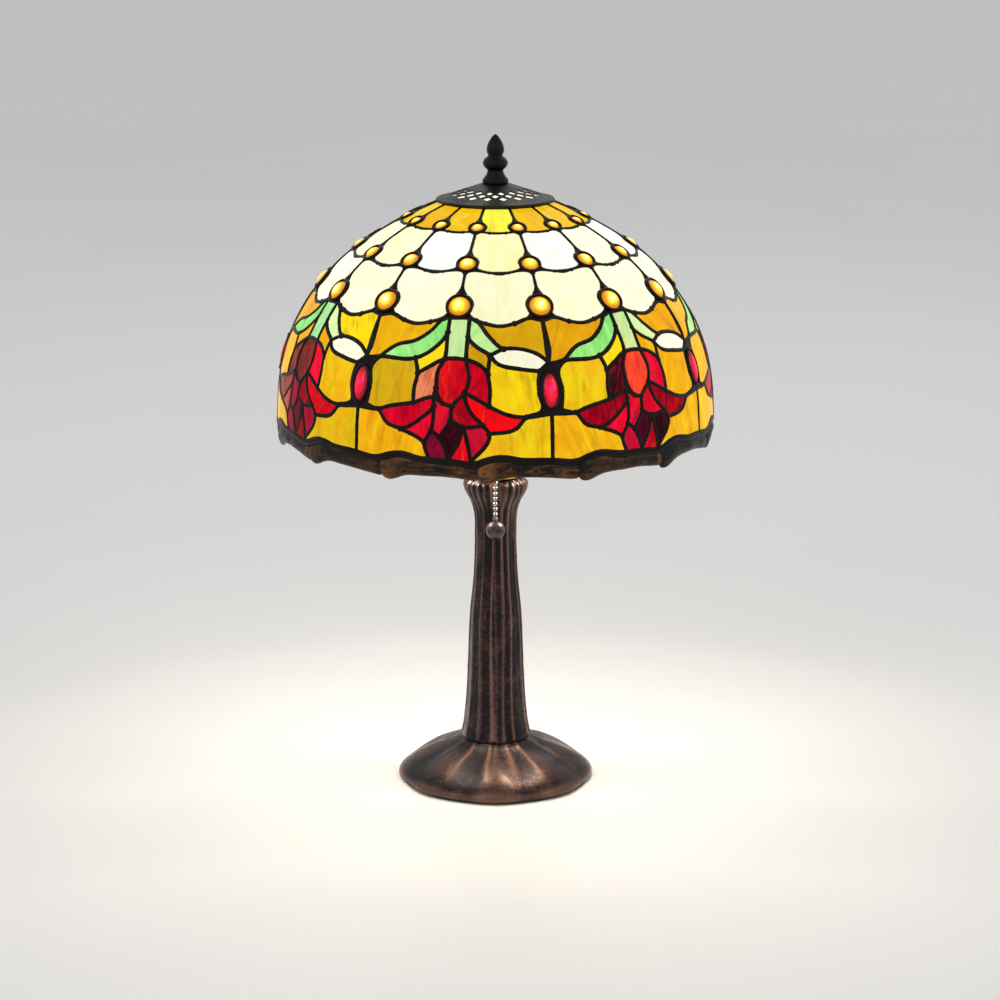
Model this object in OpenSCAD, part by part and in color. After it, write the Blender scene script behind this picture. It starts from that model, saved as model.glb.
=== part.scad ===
// Leaded-glass tulip table lamp: flared foot, fluted column, two-lamp
// cluster with a pull-chain switch, domed glass shade, vented cap, finial.
// Z is up, the foot stands on z = 0 and the lamp's axis is the Z axis.
// The side with the pull chain faces -Y.

/* [Foot] */
// Diameter of the foot
base_d = 184; // [170:2:200]
// Wall of the foot casting
base_wall = 4; // [3:0.5:5]
// Height of the foot casting
base_h = 40; // [38:1:42]

/* [Column] */
// Height at which the column ends
column_top = 292; // [290:1:293]
// Number of ribs on the column
column_ribs = 14; // [8:1:16]
// Thickness of one rib
rib_t = 4; // [3:0.5:5]
// Wall of the hollow column
column_wall = 4.5; // [4:0.5:6]
// Radius of the threaded lamp pipe
pipe_r = 4.8; // [4.5:0.1:4.8]

/* [Lamp holders] */
// Angle of the lamp holders above level
socket_tilt = 40; // [35:1:45]
// Radius of the bulb's globe
bulb_r = 30; // [24:1:30]

/* [Pull chain] */
// Distance of the hanging chain from the lamp's axis
chain_reach = 41; // [40:0.5:43]
// Radius of one chain bead
bead_r = 2.1; // [1.8:0.1:2.2]
// Distance between two beads
bead_pitch = 4.9; // [4.6:0.1:5.2]
// Radius of the ball that is pulled
ball_r = 8.8; // [7:0.2:9]

/* [Shade] */
// Number of tulips round the shade
tulips = 7; // [7:1:7]
// Turn of the first tulip from the front, in degrees
first_tulip = -11.4; // [-25:0.1:25]
// Thickness of the glass
glass_t = 3; // [2.5:0.5:3]
// Thickness of the lead frame round each pane
lead_t = 3.6; // [3.2:0.2:3.6]
// Share of a flat facet in the wide upper panes
flatness = 0.8; // [0.5:0.1:1]
// Depth of the twig border below the glass
twig_drop = 10; // [8:1:12]

/* [Cap and finial] */
// Vent holes in each row of the cap
vents = 14; // [12:1:14]
// Height of the finial's tip, which is the lamp's height
lamp_h = 610; // [606:1:614]

/* [Hidden] */

iron = [0.25, 0.24, 0.23];
bronze = [0.24, 0.17, 0.13];
steel = [0.75, 0.75, 0.77];
brass_color = [0.72, 0.56, 0.28];
amber = [0.97, 0.76, 0.09];
cream = [1.0, 0.97, 0.82];
green = [0.56, 0.88, 0.55];
crimson = [0.86, 0.02, 0.12];
ruby = [0.7, 0.0, 0.15];
maroon = [0.3, 0.06, 0.12];
white_ceramic = [0.93, 0.92, 0.9];

round_fn = 96;
gap = 0.2;          // standing gap between two pieces that rest on each other

// ---- heights on the axis
felt_t = 2;
plate_t = 1.5;
neck_z = column_top + 6;
cup_z = neck_z + 32;
cup_h = 34;
cup_r = 27;
cup_wall = 1.5;
cover_z = cup_z + cup_h;
spider_z = 542.8;
ring_z = 545.5;
cap_z = 549.6;
cap_top_z = 565;
finial_z = 565.2;

// ---------------------------------------------------------------- foot
module base_felt() {
    color("black")
        difference() {
            cylinder(h = felt_t, r = base_d/2 - 4, $fn = round_fn);
            translate([0, 0, -1]) cylinder(h = felt_t + 2, r = 12, $fn = round_fn);
        }
}

module base_plate() {
    color(steel)
        translate([0, 0, felt_t + gap])
            difference() {
                cylinder(h = plate_t, r = base_d/2 - base_wall - 4, $fn = round_fn);
                translate([0, 0, -1]) cylinder(h = plate_t + 2, r = 12, $fn = round_fn);
            }
}

// iron cast to the hollow of the foot, with a channel for the cord at the back
module base_weight() {
    color(iron)
        difference() {
            translate([0, 0, felt_t + plate_t + 2*gap])
                rotate_extrude($fn = round_fn)
                    polygon([[16, 0], [base_d/2 - 14, 0], [base_d/2 - 14, 7], [base_d/2 - 24, 12],
                        [base_d/2 - 35, 17], [base_d/2 - 47, 23], [28, 28.5], [16, 28.5]]);
            translate([0, base_d/2, bushing_z]) rotate([90, 0, 0])
                cylinder(h = base_d/2 - 10, r = 6.6, $fn = 48);
        }
}

foot_curve = [[0, 0], [0, 5], [2, 9], [8, 13], [18, 17], [30, 22], [42, 28], [52, 34], [57, 38]];

function foot_outline(inset) = concat(
    [for (p = foot_curve) [base_d/2 - p[0] - inset, felt_t + gap + p[1] - inset*0.4]]);

module base_casting() {
    outer = foot_outline(0);
    inner = foot_outline(base_wall);
    bottom = felt_t + gap;
    color(bronze)
        difference() {
            union() {
                rotate_extrude($fn = round_fn)
                    polygon(concat([[pipe_r + 0.4, bottom + 32]], [[inner[8][0] - 2, bottom + 32]],
                        [for (i = [6:-1:1]) inner[i]], [[base_d/2 - base_wall, bottom]],
                        outer, [[33, base_h + gap], [pipe_r + 0.4, base_h + gap]]));
                foot_lobes();
            }
            translate([0, base_d/2 + 3, bushing_z]) rotate([90, 0, 0])
                cylinder(h = 30, r = 6, $fn = 48);
        }
}

lobes = 8;
module foot_lobes() {
    for (k = [0:lobes - 1])
        rotate([0, 0, (k + 0.5)*360/lobes])
            rotate([90, 0, 0])
                linear_extrude(height = 7, center = true)
                    polygon([[34, 37], [base_d/2 - 50, 33], [base_d/2 - 30, 25.5], [base_d/2 - 12, 18],
                        [base_d/2 - 5, 13], [base_d/2 - 1.4, 8], [base_d/2 - 3, 7], [base_d/2 - 30, 20], [36, 32]]);
}

bushing_z = 12.5;
bushing_len = 20;
module cord_bushing() {
    color("black")
        translate([0, base_d/2 + 3.5, bushing_z])
            rotate([90, 0, 0])
                difference() {
                    union() {
                        cylinder(h = 2.5, r = 7.5, $fn = 48);
                        cylinder(h = bushing_len, r = 5.9, $fn = 48);
                    }
                    translate([0, 0, -1]) cylinder(h = bushing_len + 2, r = 3.5, $fn = 48);
                }
}

module base_washer() {
    color(steel)
        translate([0, 0, 32.2 - gap - 1.6])
            difference() {
                cylinder(h = 1.6, r = 14, $fn = round_fn);
                translate([0, 0, -1]) cylinder(h = 4, r = pipe_r + 0.3, $fn = round_fn);
            }
}

module hex_nut(across, height) {
    difference() {
        cylinder(h = height, r = across/2/cos(30), $fn = 6);
        translate([0, 0, -1]) cylinder(h = height + 2, r = pipe_r + 0.1, $fn = 64);
    }
}

module base_nut() {
    color(brass_color) translate([0, 0, 24]) hex_nut(16, 6);
}

module pipe(z0, z1, bore) {
    translate([0, 0, z0])
        difference() {
            cylinder(h = z1 - z0, r = pipe_r, $fn = 64);
            translate([0, 0, -1]) cylinder(h = z1 - z0 + 2, r = bore, $fn = 48);
        }
}

module lower_pipe() {
    color(steel) pipe(18, cup_z + 12, 3);
}

// -------------------------------------------------------------- column
column_curve = [[33, 0], [30, 15], [27.6, 40], [26, 70], [25, 100], [23.6, 125], [21, 150],
    [19.6, 175], [19.2, 195], [20, 217], [23, 228], [28, 237], [29.8, 243], [29.8, 247], [26, 251.6]];
column_z = base_h + 2*gap;

module column() {
    span = column_top - column_z;
    rise = span/251.6;
    core = [for (p = column_curve) [p[0] - 1.4, p[1]*rise]];
    ribs = [for (p = column_curve) [p[0] + 0.4, p[1]*rise]];
    hollow = [for (i = [1:9]) [column_curve[i][0] - 1.4 - column_wall, column_curve[i][1]*rise]];
    color(bronze)
        translate([0, 0, column_z])
            difference() {
                union() {
                    rotate_extrude($fn = round_fn) polygon(concat([[0, 0]], core, [[0, span]]));
                    for (k = [0:column_ribs - 1])
                        rotate([0, 0, k*360/column_ribs])
                            rotate([90, 0, 0])
                                linear_extrude(height = rib_t, center = true)
                                    polygon(concat([[10, 1]], [for (i = [0:13]) ribs[i]], [[10, span - 6]]));
                }
                translate([0, 0, -1]) cylinder(h = span + 2, r = pipe_r + 0.4, $fn = 64);
                rotate_extrude($fn = round_fn) polygon(concat([[0, 12]], hollow, [[0, 226*rise]]));
            }
}

module column_check_plate() {
    color(brass_color)
        translate([0, 0, column_top + gap])
            difference() {
                rotate_extrude($fn = round_fn)
                    polygon([[0, 0], [22, 0], [24.5, 1.5], [22, 3], [20, 5.6], [0, 5.6]]);
                translate([0, 0, -1]) cylinder(h = 9, r = pipe_r + 0.4, $fn = 64);
            }
}

module neck_tube() {
    color(bronze)
        translate([0, 0, neck_z])
            difference() {
                rotate_extrude($fn = round_fn)
                    polygon([[0, 0], [12, 0], [9.5, 5], [8.5, 16], [9.5, 27], [12, 31.8], [0, 31.8]]);
                translate([0, 0, -1]) cylinder(h = 34, r = pipe_r + 0.4, $fn = 64);
            }
}

// ------------------------------------------------- two-lamp cluster
// A lamp holder's root stands this far out along its nipple, clear of the cup and its cover.
holder_reach = 8;
socket_root = [cup_r - 5 + holder_reach*cos(socket_tilt), 0, cup_z + 17 + holder_reach*sin(socket_tilt)];
module on_sockets(sides = [0, 1]) {
    for (side = sides)
        rotate([0, 0, 180*side])
            translate(socket_root)
                rotate([0, 90 - socket_tilt, 0])
                    children();
}

module tube(z0, z1, r_out, r_in) {
    translate([0, 0, z0])
        difference() {
            cylinder(h = z1 - z0, r = r_out, $fn = 64);
            translate([0, 0, -1]) cylinder(h = z1 - z0 + 2, r = r_in, $fn = 64);
        }
}

module cluster_cup() {
    color(bronze)
        difference() {
            translate([0, 0, cup_z])
                rotate_extrude($fn = round_fn)
                    polygon([[pipe_r + 0.4, 0], [19, 0], [24, 3], [cup_r, 9], [cup_r, cup_h - gap],
                        [cup_r - cup_wall, cup_h - gap], [cup_r - cup_wall, 9.6], [23, 4.4], [18.4, cup_wall],
                        [pipe_r + 0.4, cup_wall]]);
            on_sockets() translate([0, 0, -20]) cylinder(h = 30, r = 6.3, $fn = 64);
            translate([0, -cup_r + 4, bell_z]) rotate([90, 0, 0]) cylinder(h = 12, r = 4.3, $fn = 48);
        }
}

module cluster_cover() {
    color(bronze)
        translate([0, 0, cover_z])
            difference() {
                rotate_extrude($fn = round_fn)
                    polygon([[0, 0], [cup_r, 0], [cup_r, 2], [22, 6], [12, 8], [0, 8]]);
                translate([0, 0, -1]) cylinder(h = 12, r = pipe_r + 0.4, $fn = 64);
            }
}

module riser_coupling() {
    color(brass_color)
        translate([0, 0, cup_z + 2])
            difference() {
                cylinder(h = 24, r = 7.2, $fn = 64);
                translate([0, 0, -1]) cylinder(h = 26, r = pipe_r + 0.1, $fn = 64);
            }
}

riser_top = 586;
module riser_rod() {
    color(steel)
        translate([0, 0, cup_z + 12 + gap])
            cylinder(h = riser_top - cup_z - 12 - gap, r = pipe_r, $fn = 64);
}

module cover_nut() {
    color(brass_color) translate([0, 0, cover_z + 8 + gap]) hex_nut(15, 5);
}

module socket_nipples() {
    color(brass_color) on_sockets() tube(-7 - holder_reach, 14, 6, 3.5);
}

module socket_caps() {
    color(brass_color)
        on_sockets()
            rotate_extrude($fn = 64)
                polygon([[6.2, 8.6], [13, 8.6], [18, 12], [19.3, 17], [19.3, 25], [18.2, 25], [18.2, 17.4],
                    [17, 13.2], [12.6, 10], [6.2, 10]]);
}

module socket_shells() {
    color(brass_color) on_sockets() tube(25.4, 60, 19.3, 18.3);
}

module socket_insulators() {
    color("dimgray") on_sockets() tube(25.6, 58, 18.1, 16.6);
}

module socket_blocks() {
    color(white_ceramic)
        on_sockets()
            difference() {
                translate([0, 0, 15]) cylinder(h = 15, r = 16, $fn = 64);
                translate([0, 0, 14]) cylinder(h = 18, r = 2.2, $fn = 32);
            }
}

module screw_shells() {
    color(brass_color) on_sockets() tube(30.4, 55, 14.8, 13.8);
}

module socket_contacts() {
    color(brass_color)
        on_sockets()
            union() {
                translate([0, 0, 16]) cylinder(h = 15, r = 2, $fn = 32);
                translate([0, 0, 30.3]) cylinder(h = 1.2, r = 5, $fn = 48);
            }
}

module bulb_base(side) {
    color(steel)
        on_sockets([side])
            union() {
                translate([0, 0, 32]) cylinder(h = 2.6, r = 4.6, $fn = 48);
                translate([0, 0, 34]) cylinder(h = 23, r = 13.2, $fn = 64);
            }
}

module bulb_globe(side) {
    center_t = 105;
    neck_t = 57.3;
    color([1, 0.98, 0.9, 0.6])
        on_sockets([side])
            union() {
                translate([0, 0, center_t]) sphere(r = bulb_r, $fn = 64);
                rotate_extrude($fn = 64)
                    polygon([[0, neck_t], [13.2, neck_t], [14.5, 64], [19, 74], [24.5, 86], [0, 92]]);
            }
}

module bulb_base_left() { bulb_base(1); }
module bulb_globe_left() { bulb_globe(1); }
module bulb_base_right() { bulb_base(0); }
module bulb_globe_right() { bulb_globe(0); }

// ------------------------------------------------- pull-chain switch
bell_z = cup_z + 16;
case_y = -15;           // centre of the switch case
spindle_y = -17.5;
lever_arm = 7.64;       // its end travels 8 mm in a sixth of a turn, as the chain does
module switch_case() {
    color("dimgray")
        translate([0, case_y, bell_z])
            difference() {
                cube([17, 15, 18], center = true);
                translate([0, -1.5, 0]) cube([11, 16, 16], center = true);
                translate([-10, spindle_y - case_y, 0]) rotate([0, 90, 0]) cylinder(h = 20, r = 1.55, $fn = 32);
            }
}

module switch_spindle() {
    color(steel)
        translate([-8, spindle_y, bell_z]) rotate([0, 90, 0]) cylinder(h = 16, r = 1.5, $fn = 32);
}

module switch_spring() {
    color(steel)
        for (k = [0:2])
            translate([-4.6 + k*0.9, spindle_y, bell_z])
                rotate([0, 90, 0])
                    rotate_extrude($fn = 48) translate([2.6, 0]) circle(r = 0.35, $fn = 16);
}

module switch_lever() {
    color(brass_color)
        translate([0, spindle_y, bell_z])
            rotate([0, 90, 0])
                difference() {
                    union() {
                        cylinder(h = 4, r = 3.4, center = true, $fn = 48);
                        translate([-lever_arm, -1.2, -1.3]) cube([lever_arm - 2, 2.4, 2.6]);
                    }
                    cylinder(h = 8, r = 1.58, center = true, $fn = 48);
                }
}

module chain_bell() {
    reach = chain_reach - bead_r - 1;
    color(brass_color)
        translate([0, 0, bell_z])
            rotate([90, 0, 0])
                rotate_extrude($fn = 48)
                    polygon([[2.7, 25.3], [4.1, 25.3], [4.1, reach - 6], [4.6, reach - 2], [6, reach],
                        [5.2, reach + 0.4], [3.6, reach - 2], [2.7, reach - 5]]);
}

module bead_string(count, pitch) {
    for (k = [0:count - 1])
        translate([0, 0, -k*pitch]) sphere(r = bead_r, $fn = 32);
    if (count > 1)
        translate([0, 0, -(count - 1)*pitch]) cylinder(h = (count - 1)*pitch, r = 0.6, $fn = 24);
}

module chain_inner_beads() {
    color(steel) translate([0, -24.5, bell_z]) rotate([-90, 0, 0]) translate([0, 0, 0])
        bead_string(2, bead_pitch);
}

chain_top = bell_z - 2;
module chain_top_bead() {
    color(steel) translate([0, -chain_reach - bead_r, chain_top]) bead_string(1, bead_pitch);
}

module chain_second_bead() {
    color(steel) translate([0, -chain_reach - bead_r, chain_top - bead_pitch]) bead_string(1, bead_pitch);
}

hanging_beads = 15;
module chain_beads() {
    color(steel)
        translate([0, -chain_reach - bead_r, chain_top - 2*bead_pitch]) bead_string(hanging_beads, bead_pitch);
}

clasp_z = chain_top - (2 + hanging_beads - 1)*bead_pitch - bead_r - gap;
module chain_clasp() {
    color(steel)
        translate([0, -chain_reach - bead_r, clasp_z - 4])
            rotate_extrude($fn = 32)
                polygon([[0, 0], [1.6, 0], [2.6, 1.5], [2.4, 3.4], [1.2, 4], [0, 4]]);
}

module chain_ball() {
    color(bronze)
        translate([0, -chain_reach - bead_r, clasp_z - 4 - gap - ball_r + 0.6])
            difference() {
                sphere(r = ball_r, $fn = 64);
                translate([0, 0, ball_r - 0.6]) cylinder(h = 3, r = 5, $fn = 32);
            }
}

// ------------------------------------------------------ shade support
module spider_nut() {
    color(brass_color) translate([0, 0, spider_z - 5 - gap]) hex_nut(15, 5);
}

module shade_spider() {
    color(steel)
        translate([0, 0, spider_z])
            difference() {
                union() {
                    cylinder(h = 2.4, r = 11, $fn = round_fn);
                    tube(0, 2.4, 47.5, 41.5);
                    for (k = [0:2])
                        rotate([0, 0, 30 + 120*k]) translate([7, -4, 0]) cube([36.5, 8, 2.4]);
                }
                translate([0, 0, -1]) cylinder(h = 5, r = pipe_r + 0.3, $fn = 64);
            }
}

module crown_ring() {
    color(bronze) tube(ring_z, ring_z + 3.4, 49, 42.5);
}

// ---------------------------------------------------- cap and finial
module vented_cap() {
    color(bronze)
        difference() {
            rotate_extrude($fn = round_fn)
                polygon([[pipe_r + 0.4, cap_top_z - 2], [13, cap_top_z - 2], [47.5, cap_z + 1.2], [51.5, cap_z],
                    [54, cap_z], [54.4, cap_z + 1.4], [53.4, cap_z + 2.6], [49, cap_z + 3.2],
                    [14, cap_top_z], [pipe_r + 0.4, cap_top_z]]);
            for (row = [0:2])
                for (k = [0:vents - 1])
                    rotate([0, 0, (k + 0.5*row)*360/vents])
                        translate([[22, 29, 36.6][row], 0, cap_z - 5])
                            scale([0.86, 1, 1])
                                cylinder(h = 25, r = [3.4, 4.2, 5][row], $fn = 4);
        }
}

// radius of the finial at each distance below its tip
finial_curve = [[0, 1.2], [3, 3], [8, 5.8], [13, 7.4], [16, 7.2], [19, 5.6], [20.5, 6.6], [22.5, 9.6],
    [26, 11.1], [29.5, 9.8], [32, 6.7], [35, 6.9], [38.5, 9.2], [41, 11.4], [lamp_h - finial_z, 11.8]];

module finial() {
    color(bronze)
        difference() {
            rotate_extrude($fn = round_fn)
                polygon(concat([[0, lamp_h]], [for (p = finial_curve) [p[1], lamp_h - p[0]]], [[0, finial_z]]));
            translate([0, 0, finial_z - 1]) cylinder(h = riser_top - finial_z + 2, r = pipe_r + 0.08, $fn = 64);
        }
}

// ------------------------------------------------------- dome surface
// The dome is measured by the angle u round it and the length s down it.
step = 180/tulips;
crown_r = 49.5;
crown_z = 548.3;
crown_len = 74;
crown_turn = [21, 33];
shoulder_len = 176;
shoulder_turn = [33, 87];
arc_r = function (len, turn) len/((turn[1] - turn[0])*PI/180);
crown_arc = arc_r(crown_len, crown_turn);
shoulder_arc = arc_r(shoulder_len, shoulder_turn);

function slope(s) = s < crown_len ? crown_turn[0] + (crown_turn[1] - crown_turn[0])*s/crown_len
    : s < crown_len + shoulder_len
        ? shoulder_turn[0] + (shoulder_turn[1] - shoulder_turn[0])*(s - crown_len)/shoulder_len
        : shoulder_turn[1];

// radius and height where an arc has turned from one slope to another
function arc_end(start, arc, a, b) = [start[0] + arc*(sin(b) - sin(a)), start[1] - arc*(cos(a) - cos(b))];

shoulder_start = arc_end([crown_r, crown_z], crown_arc, crown_turn[0], crown_turn[1]);
skirt_start = arc_end(shoulder_start, shoulder_arc, shoulder_turn[0], shoulder_turn[1]);

function profile(s) = s < crown_len ? arc_end([crown_r, crown_z], crown_arc, crown_turn[0], slope(s))
    : s < crown_len + shoulder_len ? arc_end(shoulder_start, shoulder_arc, shoulder_turn[0], slope(s))
    : skirt_start + (s - crown_len - shoulder_len)*[cos(shoulder_turn[1]), -sin(shoulder_turn[1])];

// the wide upper panes are flat, and the flatness fades out in the tulip band
function flat_share(s) = flatness*min(1, max(0, (180 - s)/40));
function facet(u, s) =
    1 - flat_share(s)*(1 - cos(step/2)/cos(u - step*floor(u/step) - step/2));
function on_dome(u, s) = let(p = profile(s), r = p[0]*facet(u, s), a = first_tulip - 90 + u)
    [r*cos(a), r*sin(a), p[1]];

// ------------------------------------------------------ flat panes
function total(v, i = 0) = i == len(v) - 1 ? v[i] : v[i] + total(v, i + 1);
function next(v, i) = v[(i + 1) % len(v)];
function prior(v, i) = v[(i + len(v) - 1) % len(v)];
function flat_normal(v) = let(n = total([for (i = [0:len(v) - 1]) cross(v[i], next(v, i))])) n/norm(n);
function left_of(d) = [-d[1], d[0]]/norm(d);
// moves each side of an outline inwards by d; the outline runs anticlockwise
function drawn_in(v, d) = [for (i = [0:len(v) - 1])
    let(a = left_of(v[i] - prior(v, i)), b = left_of(next(v, i) - v[i])) v[i] + (a + b)*d/(1 + a*b)];
// turns an outline's order round when it runs clockwise
function area(v) = total([for (i = [0:len(v) - 1]) cross(v[i], next(v, i))])/2;
function anticlockwise(v) = area(v) < 0 ? [for (i = [len(v) - 1:-1:0]) v[i]] : v;

// Places flat stock where the outline's points lie on the dome. Children
// are drawn from the outline in the pane's own plane.
module on_pane_plane(points) {
    ring = [for (p = points) on_dome(p[0], p[1])];
    c = total(ring)/len(ring);
    n0 = flat_normal(ring);
    n = n0*[c[0], c[1], 60] < 0 ? -n0 : n0;
    tilt = acos(n[2]);
    spin = atan2(n[1], n[0]);
    down = [cos(tilt)*cos(spin), cos(tilt)*sin(spin), -sin(tilt)];
    side = [-sin(spin), cos(spin), 0];
    $outline = anticlockwise([for (p = ring) [(p - c)*down, (p - c)*side]]);
    translate(c) rotate([0, tilt, spin]) children();
}

glass_in = 2;       // from the middle of a seam to the glass
lead_out = 0.8;     // from the middle of a seam to the lead's outer side
lead_in = 1.8;      // from the middle of a seam to the lead's inner side

module pane(points) {
    on_pane_plane(points)
        linear_extrude(height = glass_t, center = true) polygon(drawn_in($outline, glass_in));
}

module lead(points) {
    on_pane_plane(points)
        linear_extrude(height = lead_t, center = true)
            difference() {
                polygon(drawn_in($outline, lead_out));
                polygon(drawn_in($outline, lead_in));
            }
}

function moved(points, u) = [for (p = points) [p[0] + u, p[1]]];
module each_tulip() { for (k = [0:tulips - 1]) { $turn = 2*step*k; children(); } }
module each_facet() { for (k = [0:2*tulips - 1]) { $turn = step*k; children(); } }
module panes(list) { for (points = list) pane(moved(points, $turn)); }
module leads(list) { for (points = list) lead(moved(points, $turn)); }

// ------------------------------------------------ the glass pattern
// Gem rows: length down the dome and radius of a gem.
gem_rows = [[33, 5.6], [83, 7.4], [129, 9.4]];
bezel = 2;          // lead round a gem
function gem_side(row, angle) = let(r = gem_rows[row][1] + bezel, s = gem_rows[row][0], dome_r = profile(s)[0])
    [r*sin(angle)/dome_r*180/PI, s - r*cos(angle)];
// the other half of an outline, without the first half's starting point
function mirrored(v, first = 0) = [for (i = [len(v) - 1:-1:first]) [step - v[i][0], v[i][1]]];
function both(v) = concat(v, mirrored(v, 1));
half = step/2;

crown_pane = both([[half, 42], [8, 41], [gem_side(0, 150)[0], gem_side(0, 150)[1]], gem_side(0, 90),
    gem_side(0, 30), [0, 26], [0, 1]]);
cream_upper = both([[half, 95.5], [9, 93.5], gem_side(1, 120), gem_side(1, 80), gem_side(1, 40), [0, 74],
    [0, 43], gem_side(0, 155)+[0.5, 0], [8, 41]]);
cream_lower = both([[half, 148.5], [8.5, 146], gem_side(2, 130), gem_side(2, 85), gem_side(2, 40), [0, 118],
    [0, 94], gem_side(1, 155), [9, 93.5]]);

// Tulip band: junctions of the seams, mirrored where the flower is.
amber_upper = [
    [[-25.7, 143], [-22, 141], [-17.5, 146], [-12.9, 148.5], [-8.2, 146], [-4.2, 142], [-7.5, 154],
        [-11.5, 163.5], [-17, 169], [-21.2, 180.5], [-25.7, 183]],
    [[25.7, 143], [22, 141], [17.5, 146], [12.9, 148.5], [8.2, 146], [5.6, 143], [9.7, 158],
        [13.8, 169], [18.2, 169], [22.8, 173.5], [25.7, 181]]
];
leaves = [
    [[-4.2, 142], [-2.3, 141], [-2.3, 154.5], [-5.5, 169], [-10.5, 179], [-21.2, 180.5], [-17, 169],
        [-11.5, 163.5], [-7.5, 154]],
    [[3.6, 141], [5.6, 143], [9.7, 158], [13.8, 169], [10, 174.5], [5.8, 166], [3.6, 158]]
];
stems = [[[-2.3, 141], [3.6, 141], [3.6, 158], [3.6, 178.5], [-2.3, 178.5], [-2.3, 154.5]]];
buds = [[[10, 174.5], [13.8, 169], [18.2, 169], [22.8, 173.5], [25.5, 182], [23.3, 189], [18, 186.5], [11.9, 181.5]]];
amber_middle = [
    [[-2.3, 154.5], [-2.3, 178.5], [-6.4, 186], [-9.3, 192], [-10.5, 179], [-5.5, 169]],
    [[3.6, 158], [5.8, 166], [10, 174.5], [9.6, 191], [7.1, 182.5], [3.6, 178.5]],
    [[-23.2, 189], [-21.2, 180.5], [-10.5, 179], [-9.3, 192], [-9.8, 205], [-9.7, 217.5], [-16.4, 222.5],
        [-19.5, 226], [-23.2, 223], [-22.6, 206]],
    [[10, 174.5], [11.9, 181.5], [18, 186.5], [23.3, 189], [22.6, 206], [23.2, 223], [19.3, 228],
        [14.7, 226], [9.9, 218.5], [10.1, 204], [9.6, 191]]
];
amber_lower = [
    [[-25.7, 226], [-19.5, 226], [-16.7, 237], [-12.9, 241], [-6.4, 252], [-5.3, 262], [-25.7, 262]],
    [[25.7, 226], [19.3, 228], [16.3, 238.5], [9.9, 242], [9.8, 248], [5.4, 262], [25.7, 262]]
];
petals_of_crimson = [
    [[-2.3, 178.5], [3.6, 178.5], [4.6, 195], [3.6, 207], [0.5, 219], [-1.8, 217], [-3.9, 204], [-3.8, 189]],
    [[3.6, 207], [7.1, 213], [9.9, 218.5], [14.7, 226], [19.3, 228], [16.3, 238.5], [9.9, 242], [8.4, 235],
        [5.2, 223.5]],
    [[3.2, 236.5], [4.4, 248.5], [5.4, 262], [-0.2, 262], [2.3, 250]]
];
petals_of_ruby = [
    [[3.6, 178.5], [7.1, 182.5], [9.6, 191], [10.1, 204], [9.9, 218.5], [7.1, 213], [3.6, 207], [4.6, 195]],
    [[-2.3, 178.5], [-3.8, 189], [-3.9, 204], [-4.4, 212], [-9.7, 217.5], [-9.8, 205], [-9.3, 192], [-6.4, 186]],
    [[-4.4, 212], [-4.2, 219], [-6.7, 228.5], [-12.9, 241], [-16.7, 237], [-19.5, 226], [-16.4, 222.5], [-9.7, 217.5]],
    [[-4.2, 219], [-4.7, 240.5], [-6.4, 252], [-12.9, 241], [-6.7, 228.5]],
    [[0.5, 219], [3.6, 207], [5.2, 223.5], [8.4, 235], [3.2, 236.5], [0.2, 231]]
];
petals_of_maroon = [
    [[-4.4, 212], [-1.8, 217], [0.5, 219], [0.2, 231], [-2.6, 246], [-4.7, 240.5], [-4.2, 219]],
    [[0.2, 231], [3.2, 236.5], [2.3, 250], [-0.2, 262], [-2.6, 246]],
    [[-4.7, 240.5], [-2.6, 246], [-0.2, 262], [-5.3, 262], [-6.4, 252]],
    [[8.4, 235], [9.9, 242], [9.8, 248], [5.4, 262], [4.4, 248.5], [3.2, 236.5]]
];
jewel_s = 206;
jewel_w = 7.4;      // half its width
jewel_h = 15.5;     // half its height

module glass_crown() { color(amber) each_facet() panes([crown_pane]); }
module glass_cream_upper() { color(cream) each_facet() panes([cream_upper]); }
module glass_cream_lower() { color(cream) each_facet() panes([cream_lower]); }
module glass_amber_upper() { color(amber) each_tulip() panes(amber_upper); }
module glass_amber_middle() { color(amber) each_tulip() panes(amber_middle); }
module glass_amber_lower() { color(amber) each_tulip() panes(amber_lower); }
module glass_leaves() { color(green) each_tulip() panes(leaves); }
module glass_stems() { color(green) each_tulip() panes(stems); }
module glass_buds() { color(cream) each_tulip() panes(buds); }
module petals_crimson() { color(crimson) each_tulip() panes(petals_of_crimson); }
module petals_ruby() { color(ruby) each_tulip() panes(petals_of_ruby); }
module petals_maroon() { color(maroon) each_tulip() panes(petals_of_maroon); }

// stands a child on the dome with its Z axis along the dome's normal
module on_normal(u, s) {
    translate(on_dome(u, s)) rotate([0, slope(s), first_tulip - 90 + u]) children();
}

module gem(r) {
    bulge = r*0.42;
    ball = (r*r + bulge*bulge)/(2*bulge);
    translate([0, 0, -1.5])
        intersection() {
            cylinder(h = 1.5 + bulge + 1.2, r = r, $fn = 48);
            translate([0, 0, 2.7 + bulge - ball]) sphere(r = ball, $fn = 64);
        }
}

module gems() {
    color([0.85, 0.6, 0.12])
        each_facet() for (g = gem_rows) on_normal($turn, g[0]) gem(g[1]);
}

function oval(w, h, count) = [for (i = [0:count - 1]) [h*cos(360*i/count), w*sin(360*i/count)]];
module jewels() {
    color([0.9, 0, 0.22])
        each_tulip()
            on_normal($turn + step, jewel_s)
                for (layer = [[0, -1.5, 3.5, 1], [1, 2, 1.4, 0.82], [2, 3.4, 1, 0.55]])
                    translate([0, 0, layer[1]])
                        linear_extrude(height = layer[2]) polygon(oval(jewel_w*layer[3], jewel_h*layer[3], 16));
}

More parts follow.
